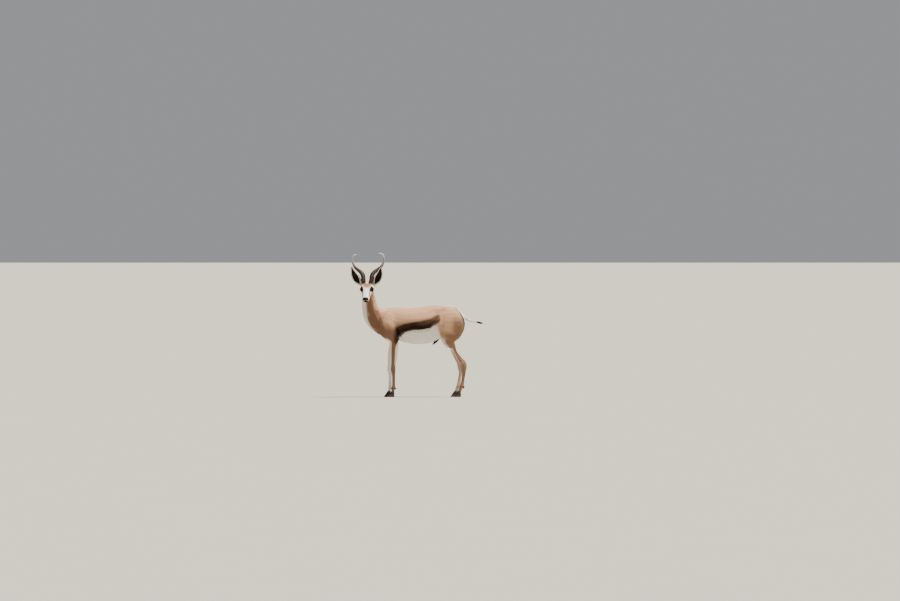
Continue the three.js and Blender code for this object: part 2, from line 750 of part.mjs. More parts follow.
// Assembly
const springbok = new THREE.Group();
const SIDES = ["left", "right"];
const LEGS = {
  foreleg: {
    limb: foreleg,
    foot: FRONT_FOOT,
    strides: [0, FAR_FORELEG_STRIDE],
    names: ["shoulder", "forearm", "cannon", "hoof"],
  },
  hindleg: {
    limb: hindLeg,
    foot: HIND_FOOT,
    strides: [0, FAR_HIND_LEG_STRIDE],
    names: ["thigh", "gaskin", "cannon", "hoof"],
  },
};
const legRooms = [];
for (const [leg, { limb, foot, strides, names }] of Object.entries(LEGS)) {
  SIDES.forEach((side, i) => {
    const { pieces, room } = buildLeg(limb, foot, side, strides[i]);
    legRooms.push(room);
    pieces.forEach((piece, k) => {
      springbok.add(node(`${leg}_${side}_${names[k]}`, piece, names[k] === "hoof" ? HOOF : TAN));
    });
  });
}

const trunk = fuse(solid(stretch(torso, 0, 1, 25)), sheath(), ...croupHair());
const nape = { at: vec(-74, 0, -56), facing: vec(0.4, 0, 0.92) }; // seen from the head
nape.at.applyMatrix4(headFrame);
nape.facing.transformDirection(headFrame);
const withers = { at: vec(-312, 0, 785), facing: vec(-0.79, 0, 0.61) };
const neckForm = stretch(neck, 0, 1, 17);
const [head, rest] = parted(fuse(buildHead(), solid(neckForm)), nape.at, nape.facing);
const [neckPiece, trunkPiece] = parted(fuse(trunk, rest), withers.at, withers.facing);
springbok.add(node("head", head, WHITE));
springbok.add(node("neck", cut(neckPiece, ...legRooms), TAN));
const tailCore = stretch(tail, 0, 1, 12);
springbok.add(node("torso", cut(trunkPiece, ...legRooms, solid(grown(tailCore, GAP))), TAN));

const fringe = { from: 0.3, to: 0.66, count: 7, length: 36, width: 12, spread: 0.22, droop: 0.1, seed: 21 };
const tuft = { from: 0.74, to: 0.96, count: 8, length: 44, width: 12, spread: 0.24, droop: 0.14, seed: 5 };
const tuftPlane = oval(tail, TUFT_FROM);
const core = solid(tailCore);
const [tuftCore] = parted(core, tuftPlane.centre, tuftPlane.along);
const [, tailPiece] = parted(fuse(core, ...tailHair(fringe)), tuftPlane.centre, tuftPlane.along);
const [tuftPiece] = parted(fuse(tuftCore, ...tailHair(tuft)), tuftPlane.centre, tuftPlane.along);
springbok.add(node("tail", tailPiece, WHITE));
springbok.add(node("tail_tuft", tuftPiece, BLACK_HAIR));

const headRoom = fuse(headMass(GAP).transform(headFrame.toArray()), solid(grown(neckForm, GAP)));
for (const side of SIDES) {
  const eye = eyeBall(side === "left" ? 1 : -1, EYE_RADIUS, 8).transform(headFrame.toArray());
  springbok.add(node(`eye_${side}`, eye, EYE));
  springbok.add(node(`horn_${side}`, cut(buildHorn(side), headRoom), HORN));
  springbok.add(node(`ear_${side}`, cut(buildEar(side), headRoom), TAN));
}

// The origin lies on the ground under the middle of the animal's box.
const box = new THREE.Box3().setFromObject(springbok);
springbok.position.set(-(box.min.x + box.max.x) / 2, -(box.min.y + box.max.y) / 2, 0);

export default springbok;
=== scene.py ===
"""A life-size springbok ram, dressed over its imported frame.

Lengths in the tables are millimetres in the animal's own frame: it faces -X, its left side faces -Y and
its hooves stand on z = 0. The head has a frame of its own: x to the nose, y to its left, z out of the forehead.
"""

from __future__ import annotations

import logging
import math
import sys
from collections.abc import Sequence
from dataclasses import dataclass
from enum import Enum

import bmesh
import bpy
import numpy as np
from mathutils import Matrix, Vector
from mathutils.bvhtree import BVHTree

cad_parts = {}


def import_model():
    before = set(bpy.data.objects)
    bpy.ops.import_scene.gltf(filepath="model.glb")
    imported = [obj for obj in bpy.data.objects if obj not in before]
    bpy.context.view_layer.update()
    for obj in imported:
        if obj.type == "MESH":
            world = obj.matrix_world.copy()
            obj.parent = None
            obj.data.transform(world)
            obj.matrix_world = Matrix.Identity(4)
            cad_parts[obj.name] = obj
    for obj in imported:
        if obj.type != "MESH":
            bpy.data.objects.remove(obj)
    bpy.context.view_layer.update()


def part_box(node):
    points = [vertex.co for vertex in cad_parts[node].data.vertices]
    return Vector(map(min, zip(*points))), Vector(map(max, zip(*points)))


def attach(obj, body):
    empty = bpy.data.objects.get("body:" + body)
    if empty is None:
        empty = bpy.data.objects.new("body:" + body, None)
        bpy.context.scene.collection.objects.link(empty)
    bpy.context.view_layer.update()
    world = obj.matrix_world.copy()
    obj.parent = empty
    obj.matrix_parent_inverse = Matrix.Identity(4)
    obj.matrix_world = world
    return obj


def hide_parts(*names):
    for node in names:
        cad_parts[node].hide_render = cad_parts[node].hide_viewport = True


log = logging.getLogger("springbok")

Array = np.ndarray
Path = tuple[tuple[float, ...], ...]
Place = tuple[float, float, float]
Colour = tuple[float, ...]
Object = bpy.types.Object
Mesh = bpy.types.Mesh
Material = bpy.types.Material
NodeTree = bpy.types.NodeTree
Socket = bpy.types.NodeSocket
MM = 0.001
WHITE, BLACK = (1.0, 0.0, 0.0, 0.0), (0.0, 1.0, 0.0, 0.0)  # shares of the markings: all white, all black


class Side(Enum):
    """The two sides of the animal, with the sign of y on each in the head's frame."""

    LEFT = 1
    RIGHT = -1

    @property
    def word(self) -> str:
        """The side's name as the frame's nodes spell it."""
        return self.name.lower()


class Region(Enum):
    """The pieces that the coat is made in."""

    HEAD = "head"
    NECK = "neck"
    SHOULDERS = "shoulders"
    FLANK_LEFT = "flank_left"
    FLANK_RIGHT = "flank_right"
    THIGHS = "thighs"
    FORELEGS = "forelegs"
    HIND_LEGS = "hind_legs"


def size_of(vectors: Array) -> Array:
    """The length of each vector."""
    return np.linalg.norm(vectors, axis=1)


def unit(vectors: Array) -> Array:
    """Vectors at length one, along the last axis."""
    return vectors / np.maximum(np.linalg.norm(vectors, axis=-1, keepdims=True), 1e-9)


def ease(values: Array | float, low: float, high: float) -> Array:
    """A soft step.

    Args:
        values: What is compared with the two ends.
        low: Where the step starts, at 0.
        high: Where it ends, at 1. It may be below low, and the step then falls.

    Returns:
        Numbers from 0 to 1.
    """
    t = np.clip((np.asarray(values, float) - low) / (high - low), 0, 1)
    return t * t * (3 - 2 * t)


def within(*steps: Array | float) -> Array:
    """The product of soft steps, each given by its values, its low and its high."""
    return math.prod(ease(*steps[i:i + 3]) for i in range(0, len(steps), 3))


def most(*shares: Array) -> Array:
    """The greatest of several numbers at each point."""
    return np.maximum.reduce(shares)


def mix(a: Array | float, b: Array | float, share: Array | float) -> Array:
    """A blend from a to b by a share from 0 to 1."""
    return a + (b - a) * share


def through(values: Sequence[float], t: Array) -> Array:
    """A smooth curve through equally spaced numbers.

    Args:
        values: The numbers, evenly spaced from t = 0 to t = 1.
        t: Places on the curve.

    Returns:
        The curve at each place.
    """
    known = np.asarray(values, float)
    last = len(known) - 1
    place = np.clip(np.asarray(t, float), 0, 1) * last
    i = np.minimum(np.floor(place).astype(int), last - 1)
    u = place - i
    a, b, c, d = (known[np.clip(i + k, 0, last)] for k in (-1, 0, 1, 2))
    bend = (2 * a - 5 * b + 4 * c - d) * u**2 + (3 * b - a - 3 * c + d) * u**3
    return 0.5 * (2 * b + (c - a) * u + bend)


def curve(rows: Sequence[Sequence[float]], t: Array) -> Array:
    """The smooth curve through rows of numbers, a column for each number of a row."""
    return np.stack([through(column, t) for column in np.transpose(rows)], axis=1)


def turns(count: int) -> Array:
    """Angles spread evenly round a circle."""
    return np.linspace(0, 2 * np.pi, count, endpoint=False)


def ball(polar: Array, angle: Array, radii: Place) -> Array:
    """Rings of points on an egg, from its upper pole down."""
    around = zip((np.cos(angle), np.sin(angle)), radii)
    flat = [np.outer(np.sin(polar), turned) * radius for turned, radius in around]
    return np.stack([*flat, np.outer(np.cos(polar), np.ones_like(angle)) * radii[2]], axis=-1)


def folded(points: Array) -> Array:
    """Points with the right side laid over the left one."""
    return np.stack([points[:, 0], np.abs(points[:, 1]), points[:, 2]], axis=1)


def flattened(vectors: Array, normals: Array) -> Array:
    """Vectors without the part of them that runs along the normals."""
    return vectors - normals * np.sum(vectors * normals, axis=1, keepdims=True)


def bell(away: Array, width: float) -> Array:
    """1 where a distance is 0, falling off softly on both sides."""
    return np.exp(-((away / width) ** 2))


def distance_to_path(points: Array, path: Sequence[Sequence[float]]) -> tuple[Array, Array]:
    """How far each point is from a line of straight pieces.

    Args:
        points: Points in two or three dimensions.
        path: The corners of the line.

    Returns:
        The distances, and how far along the line the nearest place is, from 0 to 1.
    """
    corners = np.asarray(path, float)
    best = np.full(len(points), 1e9)
    along = np.zeros(len(points))
    for i, (a, b) in enumerate(zip(corners, corners[1:])):
        step = b - a
        t = np.clip(((points - a) @ step) / (step @ step), 0, 1)
        gap = size_of(points - (a + t[:, None] * step))
        nearer = gap < best
        best = np.where(nearer, gap, best)
        along = np.where(nearer, (i + t) / (len(corners) - 1), along)
    return best, along


def at_line(t: Array, path: Path) -> Array:
    """How high a line of straight pieces stands at each place."""
    return np.interp(t, *np.transpose(path))


def signed_side(x: Array, z: Array, path: Sequence[Sequence[float]]) -> Array:
    """The distance from a line in side view, above 0 behind and above it as it runs forward and up."""
    points = np.stack([x, z], axis=1)
    gap, _ = distance_to_path(points, path)
    corners = np.asarray(path, float)
    order = np.argsort(corners[:, 1])
    edge = np.interp(z, corners[order, 1], corners[order, 0])
    return np.where(x > edge, gap, -gap)


@dataclass
class AnimalFrame:
    """Turns row metres into the animal's millimetres and back, and into the head's own frame."""

    head_at: Place = (-454.0, -104.0, 1014.0)
    yaw: float = 9.5
    tilt: float = 36.0
    roll: float = 0.3
    eye_at: Place = (70.0, 45.5, -27.0)
    eye_radius: float = 15.5

    def __post_init__(self) -> None:
        """Works out the head's axes, and the shift from the place of the two eyes."""
        tilt = math.radians(self.tilt)
        axes = Matrix(((0, 1, 0), (-math.cos(tilt), 0, -math.sin(tilt)), (-math.sin(tilt), 0, math.cos(tilt))))
        self.rise = np.array([-math.sin(tilt), 0, math.cos(tilt)])
        self.back = np.array([-math.cos(tilt), 0, -math.sin(tilt)])
        yaw = Matrix.Rotation(math.radians(-self.yaw), 3, "Z")
        self.turn = np.array(yaw @ Matrix.Rotation(math.radians(self.roll), 3, "Y") @ axes)
        corners = [np.array(corner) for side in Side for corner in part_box(f"eye_{side.word}")]
        forward, _, up = self.eye_at
        middle = self.turn @ np.array([forward, 0, up]) + np.array(self.head_at)
        self.shift = np.mean(corners, axis=0) / MM - middle

    def to_row(self, points: Array) -> Array:
        """The animal's millimetres as row metres."""
        return (points + self.shift) * MM

    def from_row(self, points: Array) -> Array:
        """Row metres as the animal's millimetres."""
        return points / MM - self.shift

    def to_head(self, points: Array) -> Array:
        """The animal's millimetres in the head's frame."""
        return (points - np.array(self.head_at)) @ self.turn

    def from_head(self, points: Array) -> Array:
        """Points of the head's frame in the animal's millimetres."""
        return points @ self.turn.T + np.array(self.head_at)

    def head_direction(self, vectors: Array) -> Array:
        """Directions of the head's frame, seen from the animal."""
        return vectors @ self.turn.T

    def eye(self, side: Side) -> Array:
        """The centre of an eye in the head's frame."""
        forward, out, up = self.eye_at
        return np.array([forward, side.value * out, up])

    def raised(self, side: Side, path: Sequence[Sequence[float]]) -> Array:
        """Places given by how far out, up and behind they are, in the head's frame."""
        rows = [np.array([0, side.value * out, 0]) + self.rise * up + self.back * away for out, up, away in path]
        return np.array(rows)

    def on_head(self, name: str, points: Array, faces: Array) -> Object:
        """A mesh object from points of the head's frame."""
        return mesh_object(name, self.to_row(self.from_head(points)), faces)

    def places(self, made: Object) -> Array:
        """A piece's points in the animal's millimetres."""
        return self.from_row(points_of(made.data))

    def move(self, made: Object, points: Array) -> None:
        """Moves a piece's points to places in the animal's millimetres."""
        place_points(made.data, self.to_row(points))


def store(items: bpy.types.bpy_prop_collection, name: str, values: Array, kind: type = np.float32) -> None:
    """Sets one property of all the items of a list."""
    items.foreach_set(name, np.ascontiguousarray(values, kind).ravel())


def stored(items: bpy.types.bpy_prop_collection, name: str, width: int, kind: type = np.float32) -> Array:
    """One property of all the items of a list, one row each."""
    flat = np.zeros(len(items) * width, kind)
    items.foreach_get(name, flat)
    return flat.reshape(-1, width)


def mesh_object(name: str, points: Array, faces: Array, normals: Array | None = None) -> Object:
    """A mesh object from arrays.

    Args:
        name: The object's name.
        points: Places in row metres, one row each.
        faces: Corner indices, one row a face, all with the same number of corners.
        normals: One normal for each point, where the mesh isn't to find its own.

    Returns:
        The object, linked to the scene.
    """
    mesh = bpy.data.meshes.new(name)
    mesh.vertices.add(len(points))
    store(mesh.vertices, "co", points)
    mesh.loops.add(faces.size)
    store(mesh.loops, "vertex_index", faces, np.int32)
    mesh.polygons.add(len(faces))
    store(mesh.polygons, "loop_start", np.arange(0, faces.size, faces.shape[1]), np.int32)
    mesh.update(calc_edges=True)
    mesh.validate()
    if normals is not None:
        mesh.normals_split_custom_set_from_vertices(normals.tolist())
    made = bpy.data.objects.new(name, mesh)
    bpy.context.scene.collection.objects.link(made)
    return made


def points_of(mesh: Mesh) -> Array:
    """The places of a mesh's vertices."""
    return stored(mesh.vertices, "co", 3).astype(float)


def normals_of(mesh: Mesh) -> Array:
    """The normals at a mesh's vertices."""
    return stored(mesh.vertex_normals, "vector", 3).astype(float)


def edges_of(mesh: Mesh) -> Array:
    """Pairs of vertices that share an edge."""
    return stored(mesh.edges, "vertices", 2, np.int32)


def triangles_of(mesh: Mesh) -> Array:
    """The corners of a mesh's triangles."""
    mesh.calc_loop_triangles()
    return stored(mesh.loop_triangles, "vertices", 3, np.int32)


def place_points(mesh: Mesh, points: Array) -> None:
    """Moves a mesh's vertices."""
    store(mesh.vertices, "co", points)
    mesh.update()


def paint(made: Object, **values: Array) -> None:
    """Stores one number, or one row of four, at each vertex under each name that the materials read."""
    for name, numbers in values.items():
        kind, label = ("FLOAT", "value") if numbers.ndim == 1 else ("FLOAT_COLOR", "color")
        store(made.data.attributes.new(name, kind, "POINT").data, label, numbers)


def applied(made: Object) -> None:
    """Gives an object the mesh that its modifiers make, and removes them."""
    shaped = bpy.data.meshes.new_from_object(made.evaluated_get(bpy.context.evaluated_depsgraph_get()))
    made.modifiers.clear()
    made.data = shaped


def dress(made: Object, material: Material, slot: str, *nodes: str) -> Object:
    """Gives a finished piece its material and its body, and hides the frame's nodes that it stands for.

    Args:
        made: The piece.
        material: Its finish.
        slot: Not used.
        nodes: The frame's nodes that it stands for.

    Returns:
        The piece.
    """
    made.data.materials.clear()
    made.data.materials.append(material)
    if nodes:
        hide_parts(*nodes)
    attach(made, "root")
    log.info("%s: %d triangles", made.name, len(triangles_of(made.data)))
    return made


def loft(rings: Array, closed: bool = True) -> tuple[Array, Array]:
    """A surface over rings of points.

    Args:
        rings: Points by ring and by place on the ring.
        closed: Whether a fan closes each end, and the faces are turned to point outwards.

    Returns:
        The points and the faces, as triangles.
    """
    count, n, _ = rings.shape
    points = rings.reshape(-1, 3)
    ring, k = np.meshgrid(np.arange(count - 1), np.arange(n), indexing="ij")
    a = ring * n + k
    b = ring * n + (k + 1) % n
    faces = [np.stack([a, b, b + n], -1).reshape(-1, 3), np.stack([a, b + n, a + n], -1).reshape(-1, 3)]
    if not closed:
        return points, np.vstack(faces)
    points = np.vstack([points, rings[0].mean(0), rings[-1].mean(0)])
    k, following = np.arange(n), (np.arange(n) + 1) % n
    base = (count - 1) * n
    faces.append(np.stack([np.full(n, count * n), following, k], -1))
    faces.append(np.stack([np.full(n, count * n + 1), base + k, base + following], -1))
    return points, outward(points, np.vstack(faces))


def joined(pieces: Sequence[tuple[Array, Array]]) -> tuple[Array, Array]:
    """The points and faces of several surfaces as one."""
    starts = np.cumsum([0] + [len(points) for points, _ in pieces])
    faces = [faces + start for (_, faces), start in zip(pieces, starts)]
    return np.vstack([points for points, _ in pieces]), np.vstack(faces)


def outward(points: Array, faces: Array) -> Array:
    """Faces of a closed surface, turned round if they point inwards."""
    a, b, c = (points[faces[:, i]] for i in range(3))
    volume = np.einsum("ij,ij->i", a, np.cross(b, c)).sum()
    return faces if volume > 0 else faces[:, ::-1]


def smoothed(points: Array, edges: Array, share: Array, rounds: int) -> Array:
    """Evens out a surface, or numbers on it, by moving each point towards the middle of its neighbours.

    Args:
        points: The points or numbers, one row each.
        edges: Pairs of neighbours.
        share: For each point, how much of the way it goes in one round.
        rounds: How many rounds.

    Returns:
        The moved points.
    """
    n = len(points)
    a, b = edges[:, 0], edges[:, 1]
    degree = np.bincount(a, minlength=n) + np.bincount(b, minlength=n)
    degree = np.maximum(degree, 1)[:, None]
    moved = points.copy()
    for _ in range(rounds):
        columns = [np.bincount(a, old[b], n) + np.bincount(b, old[a], n) for old in moved.T.copy()]
        around = np.stack(columns, axis=1)
        moved += share[:, None] * (around / degree - moved)
    return moved


def evened(made: Object, share: Array, rounds: int) -> None:
    """Evens out a piece's points, each by its own share."""
    place_points(made.data, smoothed(points_of(made.data), edges_of(made.data), share, rounds))


@dataclass(frozen=True)
class Form:
    """A ridge or hollow of the flesh along a line.

    Attributes:
        path: The line's corners: x and z in side view, or on the head's left side in its own frame.
        width: How far it reaches to either side.
        height: How high it stands, below 0 for a hollow.
        inner: Whether the inner face of a leg has it too.
    """

    path: Path
    width: float
    height: float
    inner: bool = False


@dataclass
class Anatomy:
    """Where each part of the body lies, and the forms of its muscles and bones."""

    frame: AnimalFrame
    stride_front: float = -26.0
    stride_hind: float = -24.0
    leg_top: float = 560.0
    hind_from: float = 60.0
    relief: float = 1.6
    forms: tuple[Form, ...] = (
        Form(((-300, 748), (-286, 700), (-266, 645)), 10, 2.6),  # spine of the shoulder blade
        Form(((-352, 735), (-340, 655), (-318, 605)), 14, -4),  # before the shoulder
        Form(((-232, 752), (-206, 690), (-190, 610), (-186, 548)), 20, -2.2),  # behind the shoulder
        Form(((-262, 640), (-240, 600), (-226, 566)), 26, 4),  # triceps
        Form(((-334, 618), (-320, 606)), 22, 4),  # point of the shoulder
        Form(((-200, 532), (-196, 518)), 10, 4),  # point of the elbow
        Form(((-150, 722), (-136, 716)), 20, -3.2),  # hollow behind the blade
        Form(((140, 752), (172, 742)), 30, -5),  # hollow of the flank
        Form(((206, 780), (218, 772)), 15, 5),  # point of the hip
        Form(((228, 556), (180, 534), (128, 512)), 13, 2.4),  # fold of the flank
        Form(((210, 742), (206, 680), (218, 600)), 12, -2.4),  # before the thigh
        Form(((352, 724), (360, 650), (346, 560)), 8, -2.4),  # between the hams
        Form(((262, 716), (264, 640), (256, 575)), 14, -1.6),
        Form(((236, 552), (244, 536)), 16, 1.6),  # knee cap of the hind leg
        Form(((396, 716), (404, 704)), 12, 3),  # pin bone
        Form(((312, 440), (325, 406), (348, 371), (374, 337)), 5, -3.2, True),  # before the great tendon
        Form(((306, 470), (318, 440), (330, 415)), 14, 2.4),  # calf
        Form(((380, 302), (386, 294)), 9, 2.4, True),  # ankle bones of the hock
        Form(((-212, 208), (-212, 160), (-211, 112)), 3.2, -1.8, True),  # before the foreleg's tendons
        Form(((404, 222), (398, 165), (391, 118)), 3.2, -1.8, True),
        Form(((-224, 266), (-223, 254)), 10, 1.6),  # bones of the knee
        Form(((-216, 420), (-217, 350), (-220, 300)), 6, -1.2),  # between the muscles of the forearm
        Form(((-462, 930), (-452, 860), (-446, 790), (-424, 705), (-396, 640)), 10, -3.4),  # furrow of the neck
        Form(((-428, 940), (-424, 860), (-406, 780), (-368, 690), (-342, 632)), 15, 2.8),  # muscle of the neck
    )
    ribs: tuple[float, ...] = (-128, -92, -56, -20, 16, 52, 88)
    rib_path: Path = ((22, 748), (10, 690), (-2, 620), (-2, 560))
    head_forms: tuple[Form, ...] = (
        Form(((98, 36, -50), (62, 43, -55), (26, 48, -58)), 7, 1.6),  # cheekbone
        Form(((60, 34, -80), (36, 42, -82), (10, 42, -82)), 14, 1.6),  # jaw muscle
        Form(((108, 34, -42), (94, 42, -38)), 3, -1.8),  # gland before the eye
        Form(((46, 43, -8), (64, 45, -9), (84, 38, -15)), 6, 1.6),  # rim of the socket
        Form(((104, 28, -20), (140, 22, -25), (174, 20, -30)), 6, -1.4),  # beside the nose bones
        Form(((100, 0, 5), (126, 0, -4)), 14, -1.6),  # dip of the bridge
        Form(((44, 0, 16), (20, 0, 14)), 12, -1),  # furrow of the forehead
        Form(((132, 20, -76), (92, 24, -84), (60, 26, -90)), 6, 1.2),  # lower edge of the jaw
    )

    def near(self, points: Array) -> Array:
        """The animal's points with the right side laid over the left one, each leg over its fellow."""
        near = points.copy()
        right, hind = ease(points[:, 1], 4, 12), points[:, 0] > self.hind_from
        drop = ease((self.leg_top - points[:, 2]) / np.where(hind, 440, 220), 0, 1)
        near[:, 0] -= right * drop * np.where(hind, self.stride_hind, self.stride_front)
        near[:, 1] = -np.abs(points[:, 1])
        return near

    def headness(self, points: Array) -> Array:
        """1 on the head, 0 on the neck and the rest."""
        head = self.frame.to_head(points)
        ahead = (head[:, 0] + 74) * 0.4 + (head[:, 2] + 56) * 0.92
        close = ease(size_of(head - np.array([60, 0, -40])), 210, 190)
        return ease(ahead, -6, 12) * close

    def neckness(self, points: Array) -> Array:
        """1 on the neck, falling to 0 on the trunk and on the head."""
        ahead = (points[:, 0] + 312) * -0.79 + (points[:, 2] - 785) * 0.61
        return ease(ahead, -25, 35) * (1 - self.headness(points)) * ease(points[:, 2], 600, 700)

    def legness(self, points: Array) -> Array:
        """1 on the lower legs, 0 on the trunk."""
        return ease(points[:, 2], 520, 420)

    def tailness(self, points: Array) -> Array:
        """1 on the tail."""
        return within(points[:, 0], 420, 436, points[:, 2], 590, 610)

    def upper_leg(self, points: Array) -> tuple[Array, Array]:
        """How far a point belongs to the shoulder and to the thigh."""
        x, z = points[:, 0], points[:, 2]
        beside = ease(np.abs(points[:, 1]), 30, 62)
        shoulder = bell(x + 274, 66) * bell(z - 640, 120) * beside
        thigh = bell(x - 300, 100) * bell(z - 620, 140) * beside
        return np.clip(1.6 * shoulder, 0, 1), np.clip(1.6 * thigh, 0, 1)

    def swell(self, points: Array, normals: Array) -> Array:
        """How far the flesh stands out or sinks, by the forms of the body."""
        near = self.near(points)
        flank = near[:, [0, 2]]
        side = np.sign(points[:, 1])
        outer = ease(normals[:, 1] * side, 0.15, 0.7)
        inner = ease(-normals[:, 1] * side, 0.15, 0.7)
        height = np.zeros(len(points))
        for form in self.forms:
            reach = 2.6 * form.width
            corners = np.asarray(form.path, float)
            low, high = corners.min(0) - reach, corners.max(0) + reach
            close = np.all((flank > low) & (flank < high), axis=1)
            gap, _ = distance_to_path(flank[close], form.path)
            face = outer[close] + (inner[close] if form.inner else 0)
            height[close] += self.relief * form.height * bell(gap, form.width) * face
        for x in self.ribs:
            gap, along = distance_to_path(flank, [(x + ahead, up) for ahead, up in self.rib_path])
            fade = np.sin(np.pi * np.clip(along, 0.02, 0.98)) ** 0.7
            height += 0.8 * bell(gap, 7.5) * outer * fade
        chest = bell(points[:, 1], 11) * ease(normals[:, 0], -0.4, -0.8)
        height -= 3 * chest * within(points[:, 2], 700, 660, points[:, 2], 480, 560)
        return height

    def head_swell(self, head: Array) -> Array:
        """How far the head's surface stands out or sinks by its forms."""
        height = np.zeros(len(head))
        for form in self.head_forms:
            height += form.height * bell(distance_to_path(folded(head), form.path)[0], form.width)
        return height

    def mouth_gap(self, head: Array) -> Array:
        """How far above the line of the mouth a point lies, or far off ahead of the lips' corners."""
        x = head[:, 0]
        line = np.interp(x, [127, 136, 150, 172, 218], [-54, -59, -63, -63.2, -63.5])
        wave = 0.5 * bell(head[:, 1], 5) * ease(x, 190, 200)
        return np.where(x > 124, head[:, 2] - line + wave, 99)

    def nostril(self, head: Array) -> Array:
        """How deep in a nostril a point lies: 1 at its middle, 0 outside."""
        slant = math.radians(28)
        x, y, z = (folded(head) - np.array([204, 15, -42])).T
        length = x * math.cos(slant) + y * math.sin(slant)
        width = -x * math.sin(slant) + y * math.cos(slant)
        bend = z - 0.05 * (length - 2) ** 2 + 1
        away = np.sqrt((length / 11.5) ** 2 + (width / 4.6) ** 2 + (bend / 4.4) ** 2)
        return ease(away, 1.15, 0.72)

    def coat_depth(self, points: Array) -> Array:
        """How deep the coat is, which the skin lies inside the solids by."""
        depth = mix(2.6, 1.3, self.legness(points))
        depth = mix(depth, 2.2, self.neckness(points))
        head = self.frame.to_head(points)
        return mix(depth, mix(1.4, 0.6, ease(head[:, 0], 60, 170)), self.headness(points))

    def lie(self, points: Array, normals: Array) -> Array:
        """The way that the hair lies at each point, along the skin."""
        x, z = self.near(points)[:, 0], points[:, 2]
        shoulder, thigh = self.upper_leg(self.near(points))
        ones, leg = np.ones(len(points)), self.legness(points)
        head = self.frame.to_head(points)
        spread = np.sign(head[:, 1]) * mix(0.25, 0.05, ease(head[:, 0], 60, 150))
        back = np.stack([-ones, spread, mix(-0.15, -0.5, ease(head[:, 2], -40, -80))], 1)
        back = mix(back, np.stack([-ones, spread * 2.4, -0.3 * ones], 1), ease(head[:, 0], 30, 0)[:, None])
        down = np.stack([0.12 + 0.5 * ease(points[:, 0], -440, -330), 0.12 * ones, -ones], 1)
        flow = np.array([1, 0, -0.22])
        for share, way in (
            (ease(z, 560, 500), (1, 0, 0.05)),  # belly
            (shoulder, (0.45, 0, -1)),
            (thigh, (0.40, 0, -1)),
            (within(x, 370, 404, z, 560, 620), (0.15, 0, -1)),  # rump
            (self.neckness(points), down),
            (within(x, -330, -380, z, 720, 660), (0.35, 0, -1)),  # chest
            (leg, (0.06, 0, -1)),
            (within(x, 250, 300, z, 320, 380) * leg, (0.5, 0, -1)),  # above the hock
            (self.tailness(points), (1, -0.05, -0.35)),
            (self.headness(points), self.frame.head_direction(back)),
        ):
            flow = mix(flow, np.asarray(way), share[:, None])
        flow[:, 1] += 0.02 * np.sign(points[:, 1])
        flat = flattened(flow, normals)
        weak = size_of(flat) < 0.05
        flat[weak] = np.cross(normals[weak], np.array([0.3, 1, 0.2]))
        return unit(flat)


def shares(white: Array, dark: Array, russet: Array, bare: Array) -> Array:
    """The markings as four numbers a point: white, near-black and red-brown hair, and naked dark skin."""
    return np.clip(np.stack(np.broadcast_arrays(white, dark, russet, bare), -1), 0, 1)


